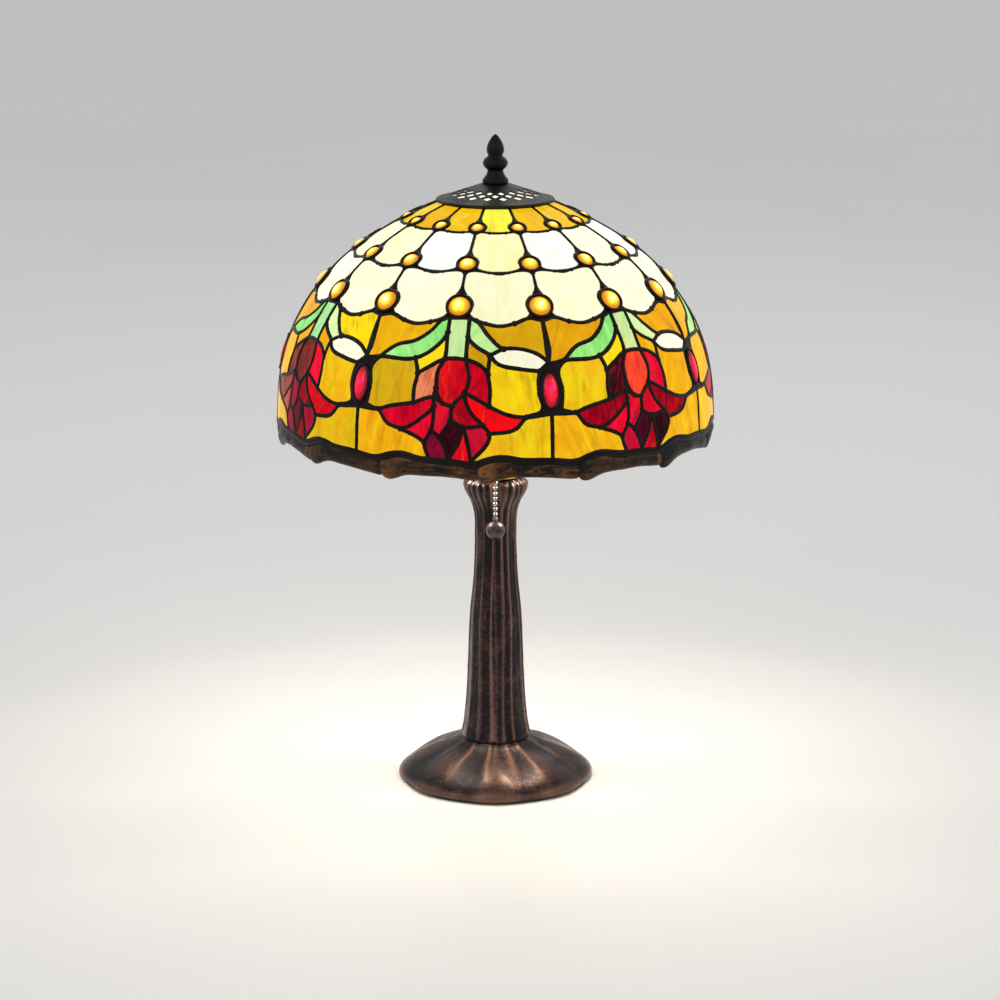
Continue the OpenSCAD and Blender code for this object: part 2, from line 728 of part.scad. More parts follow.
module lead_upper() {
    color(iron)
        each_facet() {
            leads([crown_pane, cream_upper, cream_lower]);
            for (g = gem_rows)
                on_normal($turn, g[0]) tube(-lead_t/2, lead_t/2, g[1] + 1.3, g[1] + 0.3);
        }
}

module lead_band() {
    color(iron)
        each_tulip() {
            leads(concat(amber_upper, leaves, stems, buds, amber_middle, amber_lower,
                petals_of_crimson, petals_of_ruby, petals_of_maroon));
            on_normal($turn + step, jewel_s)
                linear_extrude(height = lead_t, center = true)
                    difference() {
                        polygon(oval(jewel_w + 1.2, jewel_h + 1.2, 16));
                        polygon(oval(jewel_w + 0.3, jewel_h + 0.3, 16));
                    }
        }
}

// ---------------------------------------------------------- twig border
// One cast twig for each facet, thick at its knot and slimmer to the right.
twig_sides = 8;
twig_rings = 12;
twig_start = 6.6;       // angle from a gem's meridian to a twig's left end
twig_gap = 0.12;        // angle left free at each end
twig_r = 198;
twig_top = 353.2;
function bell(x, middle, width) = exp(-pow((x - middle)/width, 2));
function end_round(t) = min(1, 0.55 + 8*t, 0.7 + 6*(1 - t));
function twig_upper(t) = twig_top + 2.6*bell(t, 0.27, 0.17) - 1.6*t;
function twig_lower(t) = twig_top - 6.8 - twig_drop - 4.8*bell(t, 0.12, 0.14) + 1.3*bell(t, 0.5, 0.16);
function twig_point(k, t, j) =
    let(a = first_tulip - 90 + step*k + twig_start + twig_gap + (step - 2*twig_gap)*t,
        q = 360*j/twig_sides,
        half_w = (4.2 + 0.6*bell(t, 0.15, 0.15))*end_round(t),
        half_h = (twig_upper(t) - twig_lower(t))/2*end_round(t),
        r = twig_r + half_w*cos(q),
        z = (twig_upper(t) + twig_lower(t))/2 + 0.4*sin(400*t + 130*k) + half_h*sin(q))
    [r*cos(a), r*sin(a), z];

module twig(k) {
    points = [for (i = [0:twig_rings]) for (j = [0:twig_sides - 1]) twig_point(k, i/twig_rings, j)];
    skin = [for (i = [0:twig_rings - 1]) for (j = [0:twig_sides - 1]) let(m = (j + 1) % twig_sides)
        [i*twig_sides + j, i*twig_sides + m, (i + 1)*twig_sides + m, (i + 1)*twig_sides + j]];
    ends = [[for (j = [twig_sides - 1:-1:0]) j], [for (j = [0:twig_sides - 1]) twig_rings*twig_sides + j]];
    polyhedron(points = points, faces = concat(skin, ends));
}

module twig_border() {
    color(bronze) for (k = [0:2*tulips - 1]) twig(k);
}

base_felt();
base_plate();
base_weight();
base_casting();
cord_bushing();
base_washer();
base_nut();
lower_pipe();
column();
column_check_plate();
neck_tube();
cluster_cup();
cluster_cover();
riser_coupling();
riser_rod();
cover_nut();
socket_nipples();
socket_caps();
socket_shells();
socket_insulators();
socket_blocks();
screw_shells();
socket_contacts();
bulb_base_left();
bulb_globe_left();
bulb_base_right();
bulb_globe_right();
switch_case();
switch_spindle();
switch_spring();
switch_lever();
chain_bell();
chain_inner_beads();
chain_top_bead();
chain_second_bead();
chain_beads();
chain_clasp();
chain_ball();
spider_nut();
shade_spider();
crown_ring();
vented_cap();
finial();
glass_crown();
glass_cream_upper();
glass_cream_lower();
gems();
glass_amber_upper();
glass_amber_middle();
glass_amber_lower();
glass_leaves();
glass_stems();
glass_buds();
petals_crimson();
petals_ruby();
petals_maroon();
jewels();
lead_upper();
lead_band();
twig_border();
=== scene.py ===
import random
from math import cos, degrees, exp, hypot, pi, radians, sin, sqrt
import bmesh
import bpy
from mathutils import Matrix, Vector, noise


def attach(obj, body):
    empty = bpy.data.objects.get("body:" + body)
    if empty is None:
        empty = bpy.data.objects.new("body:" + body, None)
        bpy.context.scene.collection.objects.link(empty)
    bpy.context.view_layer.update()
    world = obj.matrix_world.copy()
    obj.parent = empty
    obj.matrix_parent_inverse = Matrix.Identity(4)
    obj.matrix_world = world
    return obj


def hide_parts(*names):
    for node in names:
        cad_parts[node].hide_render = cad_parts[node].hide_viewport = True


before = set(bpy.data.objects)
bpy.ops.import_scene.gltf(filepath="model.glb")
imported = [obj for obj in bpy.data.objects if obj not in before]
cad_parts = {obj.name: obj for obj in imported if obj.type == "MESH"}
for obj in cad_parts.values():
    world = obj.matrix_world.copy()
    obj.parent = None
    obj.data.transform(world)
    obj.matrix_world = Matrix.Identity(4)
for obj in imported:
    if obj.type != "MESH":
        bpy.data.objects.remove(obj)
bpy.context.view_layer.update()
scene = bpy.context.scene
mm = 0.001
print("frame loaded")


# small helpers for meshes
def newObject(name, data):
    made = bpy.data.objects.new(name, data)
    scene.collection.objects.link(made)
    return made


def newMesh(name, bm, body, material, replaced=(), slotName=None, smooth=True):
    mesh = bpy.data.meshes.new(name)
    bm.to_mesh(mesh)
    bm.free()
    for polygon in mesh.polygons:
        polygon.use_smooth = smooth
    if smooth:
        mesh.set_sharp_from_angle(angle=radians(42))
    mesh.materials.append(material)
    piece = newObject(name, mesh)
    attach(piece, body)
    if replaced:
        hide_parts(*replaced)
    return piece


def turnFaces(bm):
    bmesh.ops.recalc_face_normals(bm, faces=bm.faces[:])


def addTo(total, part):
    # one finished part joins the others, which keeps every operator's mesh small
    mesh = bpy.data.meshes.new("part")
    part.to_mesh(mesh)
    part.free()
    total.from_mesh(mesh)
    bpy.data.meshes.remove(mesh)


def cutAway(piece, cutter):
    # the cutter's space is taken out of a finished piece
    cutterMesh = bpy.data.meshes.new("cutter")
    cutter.to_mesh(cutterMesh)
    cutter.free()
    cutterPiece = newObject("cutter", cutterMesh)
    boolean = piece.modifiers.new("cutter", "BOOLEAN")
    boolean.object = cutterPiece
    boolean.operation = "DIFFERENCE"
    bpy.context.view_layer.update()
    finished = piece.evaluated_get(bpy.context.evaluated_depsgraph_get())
    cutMesh = bpy.data.meshes.new_from_object(finished)
    piece.modifiers.clear()
    piece.data = cutMesh
    bpy.data.objects.remove(cutterPiece)


def polar(radius, angle, height):
    return Vector((radius * cos(angle), radius * sin(angle), height))


def bell(x, centre, width):
    return exp(-((x - centre) / width) ** 2)


def mixed(a, b, share):
    return a + (b - a) * share


def curveValue(points, x):
    # smooth value at x of a list of (x, value) points
    if x <= points[0][0]:
        return points[0][1]
    if x >= points[-1][0]:
        return points[-1][1]
    i = 0
    while points[i + 1][0] < x:
        i += 1
    (x0, y0), (x1, y1) = points[i], points[i + 1]
    before = points[i - 1] if i else points[i]
    after = points[i + 2] if i + 2 < len(points) else points[i + 1]
    m0 = (y1 - before[1]) / max(x1 - before[0], 1e-6)
    m1 = (after[1] - y0) / max(after[0] - x0, 1e-6)
    d = x1 - x0
    t = (x - x0) / d
    return ((2 * t**3 - 3 * t**2 + 1) * y0 + (t**3 - 2 * t**2 + t) * m0 * d
            + (-2 * t**3 + 3 * t**2) * y1 + (t**3 - t**2) * m1 * d)


def spunShape(outline, segments):
    # a closed outline of (radius, height) in mm turned round the lamp's axis
    bm = bmesh.new()
    corners = [bm.verts.new((r * mm, 0, z * mm)) for r, z in outline]
    edges = [bm.edges.new(pair) for pair in zip(corners, corners[1:])]
    if outline[0][0] > 0:
        edges.append(bm.edges.new((corners[-1], corners[0])))
    bmesh.ops.spin(bm, geom=corners + edges, cent=(0, 0, 0), axis=(0, 0, 1), dvec=(0, 0, 0),
                   angle=2 * pi, steps=segments, use_merge=True, use_duplicate=False)
    bmesh.ops.remove_doubles(bm, verts=bm.verts[:], dist=1e-6)
    turnFaces(bm)
    return bm


def ringLoft(count, levels, place, closed, ridges=None):
    # place(level, number) is where a ring's vertex goes; the first ring is a circle and every
    # next one is extruded from the last; ridges holds a value for each vertex
    bm = bmesh.new()
    layer = bm.verts.layers.float.new("ridge") if ridges is not None else None

    def edgesOf(ring):
        return [bm.edges.get((ring[i], ring[(i + 1) % count])) for i in range(count)]

    rings = [list(bmesh.ops.create_circle(bm, segments=count, radius=1.0)["verts"])]
    for level in range(levels):
        if level:
            grown = bmesh.ops.extrude_edge_only(bm, edges=edgesOf(rings[-1]))["geom"]
            following = {}
            for vertex in grown:
                if isinstance(vertex, bmesh.types.BMVert):
                    for edge in vertex.link_edges:
                        following[edge.other_vert(vertex)] = vertex
            rings.append([following[v] for v in rings[-1]])
        for i, vertex in enumerate(rings[-1]):
            vertex.co = place(level, i)
    if layer:
        for level, ring in enumerate(rings):
            for i, vertex in enumerate(ring):
                vertex[layer] = ridges.get((level, i), 0.0)
    if closed:
        bmesh.ops.bridge_loops(bm, edges=edgesOf(rings[-1]) + edgesOf(rings[0]))
    else:
        bm.faces.new(list(reversed(rings[0])))
        bm.faces.new(rings[-1])
    turnFaces(bm)
    return bm


# small helpers for materials
def colour(code):
    # "#rrggbb" as the linear colour that the shader wants
    parts = [int(code[i:i + 2], 16) / 255 for i in (1, 3, 5)]
    return tuple(p / 12.92 if p < 0.04045 else ((p + 0.055) / 1.055) ** 2.4 for p in parts) + (1.0,)


def setInputs(tree, node, values):
    # each value is a socket to link, a "#rrggbb" colour or a constant
    for label, value in values.items():
        if isinstance(value, bpy.types.NodeSocket):
            tree.links.new(value, node.inputs[label])
        else:
            node.inputs[label].default_value = colour(value) if isinstance(value, str) else value


def addNode(tree, kind, inputs=None, **settings):
    made = tree.nodes.new(kind)
    for name, value in settings.items():
        setattr(made, name, value)
    setInputs(tree, made, inputs or {})
    return made


def calc(tree, operation, a, b=0.0, c=0.0, clamp=False):
    made = addNode(tree, "ShaderNodeMath", {0: a, 1: b, 2: c}, operation=operation, use_clamp=clamp)
    return made.outputs[0]


def blend(tree, share, a, b, kind="MIX"):
    made = addNode(tree, "ShaderNodeMix", {0: share, 6: a, 7: b}, data_type="RGBA", blend_type=kind)
    return made.outputs[2]


def remap(tree, value, low, high, newLow=0.0, newHigh=1.0):
    made = addNode(tree, "ShaderNodeMapRange", {0: value, 1: low, 2: high, 3: newLow, 4: newHigh},
                   interpolation_type="SMOOTHSTEP")
    return made.outputs[0]


def cloudy(tree, place, scale, detail=2.0, roughness=0.5, distortion=0.0):
    made = addNode(tree, "ShaderNodeTexNoise", {
        "Vector": place, "Scale": scale, "Detail": detail, "Roughness": roughness, "Distortion": distortion})
    return made.outputs[0]


def aboutMiddle(tree, cloud, gain):
    # a noise value's distance from its middle, times a gain
    return calc(tree, "MULTIPLY", calc(tree, "SUBTRACT", cloud, 0.5), gain)


def objectPlace(tree):
    return addNode(tree, "ShaderNodeTexCoord").outputs["Object"]


def attributeValue(tree, name):
    return addNode(tree, "ShaderNodeAttribute", attribute_name=name).outputs["Fac"]


grey = (0.5, 0.5, 0.5, 1.0)
metalOutputs = {"Colour": grey, "Roughness": 0.0, "Height": 0.0}


def newGroup(name, inputs, outputs):
    # a socket's starting value tells whether it is a colour or a number
    group = bpy.data.node_groups.new(name, "ShaderNodeTree")
    for side, sockets in (("INPUT", inputs), ("OUTPUT", outputs)):
        for label, value in sockets.items():
            kind = "NodeSocketColor" if isinstance(value, tuple) else "NodeSocketFloat"
            group.interface.new_socket(name=label, in_out=side, socket_type=kind).default_value = value
    return group, group.nodes.new("NodeGroupInput").outputs, group.nodes.new("NodeGroupOutput")


def buildGlassFigure():
    # streaks and clouds of rolled art glass, brighter where a bulb stands behind it
    group, given, out = newGroup("glassFigure", {
        "Deep": grey, "Middle": grey, "Pale": grey, "Tint": grey, "Tint Amount": 0.0, "Accent": grey,
        "Streaks": 0.5, "Fineness": 1.0}, {"Body": grey, "Glow": grey, "Height": 0.0})
    run, place = addNode(group, "ShaderNodeUVMap", uv_map="streaks").outputs[0], objectPlace(group)
    drawn = addNode(group, "ShaderNodeVectorMath", {0: run, 1: (1.0, 0.16, 1.0)},
                    operation="MULTIPLY").outputs[0]
    streak = cloudy(group, drawn, given["Fineness"], 5.0, 0.6, 0.5)
    cloud = cloudy(group, run, 0.55, 3.0, distortion=0.8)
    streaky = aboutMiddle(group, streak, calc(group, "MULTIPLY", given["Streaks"], 2.4))
    share = calc(group, "ADD", calc(group, "ADD", streaky, attributeValue(group, "tone")),
                 aboutMiddle(group, cloud, 0.7), clamp=True)
    lower = blend(group, calc(group, "MULTIPLY", share, 2.0, clamp=True), given["Deep"], given["Middle"])
    upper = calc(group, "SUBTRACT", calc(group, "MULTIPLY", share, 2.0), 1.0, clamp=True)
    plain = blend(group, upper, lower, given["Pale"])
    wisp = cloudy(group, drawn, calc(group, "MULTIPLY", given["Fineness"], 0.8), 6.0, distortion=1.4)
    wispMask = calc(group, "MULTIPLY", remap(group, wisp, 0.54, 0.72), given["Tint Amount"])
    wispy = blend(group, wispMask, plain, given["Tint"])
    accentShare = calc(group, "MULTIPLY", attributeValue(group, "accent"),
                       remap(group, streak, 0.3, 0.62, 0.35, 1.1), clamp=True)
    tinted = blend(group, accentShare, wispy, given["Accent"])
    left, right = (addNode(group, "ShaderNodeVectorMath", {0: place, 1: (side, 0.0, 0.42)},
                           operation="DISTANCE").outputs["Value"] for side in (-0.09, 0.09))
    lit = remap(group, calc(group, "MINIMUM", left, right), 0.07, 0.24, 1.06, 0.9)
    litColour = addNode(group, "ShaderNodeCombineColor", {0: lit, 1: lit, 2: lit}).outputs[0]
    ripple = cloudy(group, place, 190.0)
    setInputs(group, out, {
        "Body": blend(group, 1.0, tinted, (0.1, 0.1, 0.1, 1.0), "MULTIPLY"),
        "Glow": blend(group, 1.0, tinted, litColour, "MULTIPLY"),
        "Height": calc(group, "ADD", streak, calc(group, "MULTIPLY", ripple, 0.5))})
    return group


def buildCastPatina():
    # cast metal: dark in the hollows, lighter on the ridges, partly a rubbed finish and partly a painted
    # highlight, with fine grain
    group, given, out = newGroup(
        "castPatina", {"Hollow": grey, "Rub And Highlight": grey, "Ridge": 0.0, "Grain": 260.0, "Rough": 0.42},
        metalOutputs)
    place = objectPlace(group)
    broad = cloudy(group, place, 34.0, 4.0, distortion=0.6)
    fine = cloudy(group, place, given["Grain"], 4.0, 0.65)
    patchy = calc(group, "ADD", aboutMiddle(group, broad, 0.8), aboutMiddle(group, fine, 0.5))
    share = calc(group, "ADD", given["Ridge"], patchy, clamp=True)
    difference = calc(group, "MULTIPLY", calc(group, "SUBTRACT", fine, broad), 0.5)
    setInputs(group, out, {"Colour": blend(group, share, given["Hollow"], given["Rub And Highlight"]),
                           "Roughness": calc(group, "ADD", given["Rough"], difference), "Height": fine})
    return group


def buildHandledFinish():
    # turned, plated or moulded stock: slight stains and a soft variation of gloss
    group, given, out = newGroup(
        "handledFinish", {"Clean": grey, "Stained": grey, "Scale": 60.0, "Rough": 0.3}, metalOutputs)
    place = objectPlace(group)
    stain = cloudy(group, place, given["Scale"], 6.0, distortion=0.4)
    stained = blend(group, remap(group, stain, 0.42, 0.68), given["Clean"], given["Stained"])
    rough = calc(group, "ADD", given["Rough"], aboutMiddle(group, stain, 0.3))
    setInputs(group, out, {"Colour": stained, "Roughness": rough, "Height": cloudy(group, place, 900.0)})
    return group


glassFigure = buildGlassFigure()
castPatina = buildCastPatina()
handledFinish = buildHandledFinish()


def newMaterial(name):
    material = bpy.data.materials.new(name)
    material.use_nodes = True
    return material, material.node_tree, material.node_tree.nodes["Principled BSDF"]


def addBump(tree, shader, height, strength, depth):
    bump = addNode(tree, "ShaderNodeBump", {"Strength": strength, "Distance": depth, "Height": height})
    tree.links.new(bump.outputs[0], shader.inputs["Normal"])


def artGlass(name, deep, middle, pale, tint, tintAmount, accent, streaks=0.5, fineness=1.0, glow=0.95):
    material, tree, shader = newMaterial(name)
    figure = addNode(tree, "ShaderNodeGroup", {
        "Deep": deep, "Middle": middle, "Pale": pale, "Tint": tint, "Tint Amount": tintAmount,
        "Accent": accent, "Streaks": streaks, "Fineness": fineness}, node_tree=glassFigure).outputs
    setInputs(tree, shader, {
        "Base Color": figure["Body"], "Emission Color": figure["Glow"], "Emission Strength": glow,
        "Roughness": 0.2, "Specular IOR Level": 0.1, "IOR": 1.25})
    addBump(tree, shader, figure["Height"], 0.35, 0.0006)
    return material


def castMetal(name, hollow, rubAndHighlight, ridge, rough, metallic, grain=260.0, bump=0.25):
    # ridge is how much of it takes the lighter colour, rubbed finish and painted highlight: a constant, or
    # the name of the attribute that says so
    material, tree, shader = newMaterial(name)
    patina = addNode(tree, "ShaderNodeGroup", {
        "Hollow": hollow, "Rub And Highlight": rubAndHighlight, "Grain": grain, "Rough": rough,
        "Ridge": attributeValue(tree, ridge) if isinstance(ridge, str) else ridge},
        node_tree=castPatina).outputs
    setInputs(tree, shader, {
        "Base Color": patina["Colour"], "Roughness": patina["Roughness"], "Metallic": metallic,
        "Specular IOR Level": 0.3})
    addBump(tree, shader, patina["Height"], bump, 0.0005)
    return material


def handled(name, clean, stained, rough=0.3, metallic=0.0, scale=60.0, bump=0.1, coat=0.0, glow=0.0):
    material, tree, shader = newMaterial(name)
    finish = addNode(tree, "ShaderNodeGroup", {
        "Clean": clean, "Stained": stained, "Scale": scale, "Rough": rough}, node_tree=handledFinish).outputs
    setInputs(tree, shader, {
        "Base Color": finish["Colour"], "Roughness": finish["Roughness"], "Metallic": metallic,
        "Coat Weight": coat})
    if glow:
        setInputs(tree, shader, {"Emission Color": finish["Colour"], "Emission Strength": glow})
    addBump(tree, shader, finish["Height"], bump, 0.0003)
    return material


def cabochon(name, rim, middle, paintedHighlight, glow=0.9):
    # pressed glass: darker at its rim, with a painted highlight in its middle where its dome gathers the
    # light
    material, tree, shader = newMaterial(name)
    cloud = cloudy(tree, objectPlace(tree), 150.0, 3.0)
    share = calc(tree, "ADD", attributeValue(tree, "paintedHighlight"), aboutMiddle(tree, cloud, 0.5), clamp=True)
    inner = blend(tree, remap(tree, share, 0.15, 0.6), rim, middle)
    full = blend(tree, remap(tree, share, 0.6, 0.95), inner, paintedHighlight)
    setInputs(tree, shader, {"Base Color": full, "Emission Color": full, "Emission Strength": glow,
                             "Roughness": 0.1, "Specular IOR Level": 0.3, "Coat Weight": 0.15})
    return material


print("materials")
materials = {
    "crown": artGlass("crownGlass", "#eca800", "#f8c60c", "#fffa46", "#a8981c", 0.3, "#c88a10", 0.35),
    "cream": artGlass("creamGlass", "#fcf6ac", "#fffddc", "#fffffa", "#f8ecae", 0.25, "#f4e6a0", 0.25,
                      glow=1.0),
    "creamLow": artGlass("creamGlassLower", "#fbf3b4", "#fffdd6", "#fffff2", "#f6e7a4", 0.3, "#f4e6a0", 0.3,
                         glow=0.98),
    "amber": artGlass("amberGlass", "#e4960a", "#f5b610", "#ffe016", "#8a7a10", 0.4, "#8c8418", 0.5, 1.3),
    "amberLow": artGlass("amberGlassLower", "#e0960c", "#f8b814", "#ffe21a", "#96840f", 0.35, "#8c8418",
                         0.6, 1.3),
    "leaf": artGlass("leafGlass", "#66d060", "#9cee80", "#d8fca4", "#5f9a2c", 0.45, "#e6f6b4", 0.6, 1.6),
    "stem": artGlass("stemGlass", "#86d490", "#b6eea0", "#e0f6b0", "#84a034", 0.5, "#dfe892", 0.6, 1.6),
    "bud": artGlass("budGlass", "#f6f2c0", "#fdfedc", "#fffff2", "#ece29c", 0.2, "#f4e6a0", 0.2),
    "crimson": artGlass("crimsonGlass", "#5a0012", "#c8021c", "#ff0a14", "#ff7040", 0.22, "#ff8a50",
                        0.55, 1.7),
    "ruby": artGlass("rubyGlass", "#300612", "#b8001c", "#f80a34", "#ec4a40", 0.18, "#f08a5c", 0.5, 1.7),
    "maroon": artGlass("maroonGlass", "#24060f", "#540822", "#a00a34", "#a82038", 0.2, "#e8142c", 0.5, 1.7),
    # each cabochon's last colour is its painted highlight
    "gem": cabochon("gemGlass", "#b87408", "#ffc832", "#fffccc", 1.05),
    "jewel": cabochon("jewelGlass", "#7c0014", "#d00024", "#f8125c", 1.0),
    "lead": castMetal("leadSeam", "#0b0705", "#2c2018", 0.15, 0.4, 0.6, 420.0, 0.35),
    "bronze": castMetal("darkBronze", "#0b0906", "#221b11", 0.2, 0.42, 0.5),
    "cap": castMetal("oliveBronze", "#12100a", "#34301a", 0.25, 0.46, 0.45),
    "column": castMetal("columnBronze", "#191416", "#86635a", "ridge", 0.3, 0.6, bump=0.3),
    "foot": castMetal("footBronze", "#181315", "#84604f", "ridge", 0.36, 0.6, bump=0.3),
    "twig": castMetal("twigMetal", "#0d0805", "#7a4c20", "ridge", 0.42, 0.35, 420.0, 0.45),
    # painted glow: the disc under the cap shines like the lit inside of the shade behind the vents
    "paintedGlowDisc": handled("paintedVentGlow", "#fffbe8", "#f4ecd0", 0.6, 0.0, 80.0, 0.0, glow=0.75),
    "steel": handled("platedSteel", "#b9bbc0", "#8c8e93", 0.28, 1.0),
    "chain": handled("chainNickel", "#b4b0ae", "#7c7674", 0.24, 1.0, 220.0),
    "ball": handled("ballBronze", "#584c4c", "#332b2b", 0.34, 0.7, 180.0, 0.2),
    "brass": handled("turnedBrass", "#c9a14e", "#8e6c2e", 0.28, 1.0, 120.0),
    "iron": handled("ironWeight", "#4a4744", "#2c2826", 0.7, 0.5, 90.0, 0.5),
    "felt": handled("baseFelt", "#1c3a26", "#14291b", 0.95, 0.0, 700.0, 0.8),
    "rubber": handled("cordRubber", "#1a1a1a", "#262423", 0.6, 0.0, 300.0),
    "fibre": handled("fibreSleeve", "#5a4636", "#3f3026", 0.85, 0.0, 240.0, 0.4),
    "porcelain": handled("socketPorcelain", "#efece4", "#dcd6c8", 0.22, 0.0, 80.0, 0.05, 0.6),
    "phenolic": handled("switchPhenolic", "#2a211c", "#3a2d24", 0.4, 0.0, 200.0),
    "bulb": handled("frostedBulb", "#fff6e2", "#fff0d2", 0.35, 0.0, 40.0, 0.05, 0.3, glow=6.0),
}

# the frame's own nodes take their finishes
nodeFinishes = {
    "felt": "base_felt", "iron": "base_weight", "rubber": "cord_bushing", "fibre": "socket_insulators",
    "steel": "base_plate base_washer lower_pipe riser_rod bulb_base_left bulb_base_right switch_spindle"
             " switch_spring shade_spider",
    "brass": "base_nut column_check_plate riser_coupling cover_nut socket_nipples socket_caps"
             " socket_shells screw_shells socket_contacts switch_lever chain_bell spider_nut crown_ring",
    "bronze": "neck_tube cluster_cup cluster_cover", "porcelain": "socket_blocks", "ball": "chain_ball",
    "bulb": "bulb_globe_left bulb_globe_right", "phenolic": "switch_case",
    "chain": "chain_inner_beads chain_top_bead chain_second_bead chain_beads chain_clasp",
}
for finish, nodeNames in nodeFinishes.items():
    for nodeName in nodeNames.split():
        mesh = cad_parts[nodeName].data
        if not mesh.materials:
            mesh.materials.append(materials[finish])
        for index in range(len(mesh.materials)):
            mesh.materials[index] = materials[finish]

# the dome: u is the angle round it, s the length down it, both as in the frame
dome = {
    "firstTulip": -11.4, "crownRadius": 49.5, "crownHeight": 548.3, "crownLength": 74.0,
    "crownTurn": (21.0, 33.0), "shoulderLength": 176.0, "shoulderTurn": (33.0, 87.0), "flatness": 0.8,
    "tuck": 1.0,
}
step = 180 / 7


def arcEnd(start, radius, a, b):
    a, b = radians(a), radians(b)
    return (start[0] + radius * (sin(b) - sin(a)),
            start[1] - radius * (cos(a) - cos(b)))


def arcRadius(length, turn):
    return length / radians(turn[1] - turn[0])


crownArc = arcRadius(dome["crownLength"], dome["crownTurn"])
shoulderArc = arcRadius(dome["shoulderLength"], dome["shoulderTurn"])
crownStart = (dome["crownRadius"], dome["crownHeight"])
shoulderStart = arcEnd(crownStart, crownArc, *dome["crownTurn"])
skirtStart = arcEnd(shoulderStart, shoulderArc, *dome["shoulderTurn"])


def profile(s):
    crown, shoulder = dome["crownLength"], dome["shoulderLength"]
    if s < crown:
        low, high = dome["crownTurn"]
        return arcEnd(crownStart, crownArc, low, mixed(low, high, s / crown))
    if s < crown + shoulder:
        low, high = dome["shoulderTurn"]
        return arcEnd(shoulderStart, shoulderArc, low, mixed(low, high, (s - crown) / shoulder))
    rest, slope = s - crown - shoulder, radians(dome["shoulderTurn"][1])
    return skirtStart[0] + rest * cos(slope), skirtStart[1] - rest * sin(slope)


def skirtTuck(s):
    # the skirt draws in a little, so the lead on it stands no wider than the frame's
    share = min(1, max(0, (s - 190) / 70))
    return dome["tuck"] * share * share * (3 - 2 * share)


def domeBare(u, s):
    r, z = profile(s)
    r -= skirtTuck(s)
    share = dome["flatness"] * min(1, max(0, (180 - s) / 40))
    inFacet = radians(u % step - step / 2)
    r *= 1 - share * (1 - cos(radians(step / 2)) / cos(inFacet))
    angle = radians(dome["firstTulip"] - 90 + u)
    return polar(r, angle, z)


def domeNormal(u, s):
    across = domeBare(u + 0.4, s) - domeBare(u - 0.4, s)
    down = domeBare(u, s + 1) - domeBare(u, s - 1)
    return down.cross(across).normalized()


def domePoint(u, s, lift=0.0):
    return (domeBare(u, s) + domeNormal(u, s) * lift) * mm


def axesAt(u, s):
    # the directions across, down and out of the dome
    up = domeNormal(u, s)
    side = Vector((0, 0, 1)).cross(up).normalized()
    return side, up.cross(side), up


def degreesWide(s):
    # millimetres round the dome for one degree
    return profile(s)[0] * pi / 180


# one cast twig to each facet; its upper edge is where the glass ends
twig = {
    "start": 6.6, "overlap": 1.5, "radius": 197.7, "halfThick": 3.8, "bark": 0.55, "glassGap": 3.7,
    "rings": 60, "around": 30,
    # how much of each twig takes the lighter colour, partly rubbed finish and partly painted light that makes
    # the front left twigs brighter and the front right ones darker
    "rubAndHighlight": {12: 0.3, 13: 0.7, 0: 1.0, 1: 0.4, 2: 0.12, 3: 0.08},
    "cutEnds": {1: 1.0, 5: 0.7, 8: 0.6, 11: 0.8}, "length": 88, "cutAt": 0.93,
    # where each knot may sit: along the twig, from and to, and across it, from and to
    "knots": [(0.06, 0.16, -0.4, 0.4), (0.2, 0.3, -0.5, 0.3), (0.4, 0.6, -0.4, 0.4), (0.65, 0.8, -0.5, 0.4)],
}


def twigTop(t):
    return 348.5 + 5.0 * bell(t, 0.24, 0.16) + 1.5 * bell(t, 0.6, 0.25) - 2.0 * bell(t, 1.0, 0.15)


def twigBottom(t):
    return 336.8 - 6.5 * bell(t, 0.1, 0.13) - 4.0 * bell(t, 1.0, 0.25)


def bottomSeam(u):
    # how far down the dome the glass reaches at u
    height = sum(twigTop(((u - twig["start"]) / step + shift) % 1) for shift in (-0.05, 0, 0.05)) / 3
    onSkirt = 262.0
    return onSkirt + profile(onSkirt)[1] - height - twig["glassGap"]


def bottomRun(first, last):
    count = max(1, round(abs(last - first) / 3.2))
    angles = [mixed(first, last, i / count) for i in range(count + 1)]
    return [(u, bottomSeam(u)) for u in angles]


# the glass pattern: each pane's outline by the junctions of its seams
gemRows = ((33.0, 5.6), (83.0, 7.4), (129.0, 9.4))
bezel = 2.0
half = step / 2


def gemSide(row, angle, shift=0.0):
    s, r = gemRows[row]
    a = radians(angle)
    return (degrees((r + bezel) * sin(a) / profile(s)[0]) + shift, s - (r + bezel) * cos(a))


def bothSides(points):
    return points + [(step - u, s) for u, s in reversed(points[1:])]


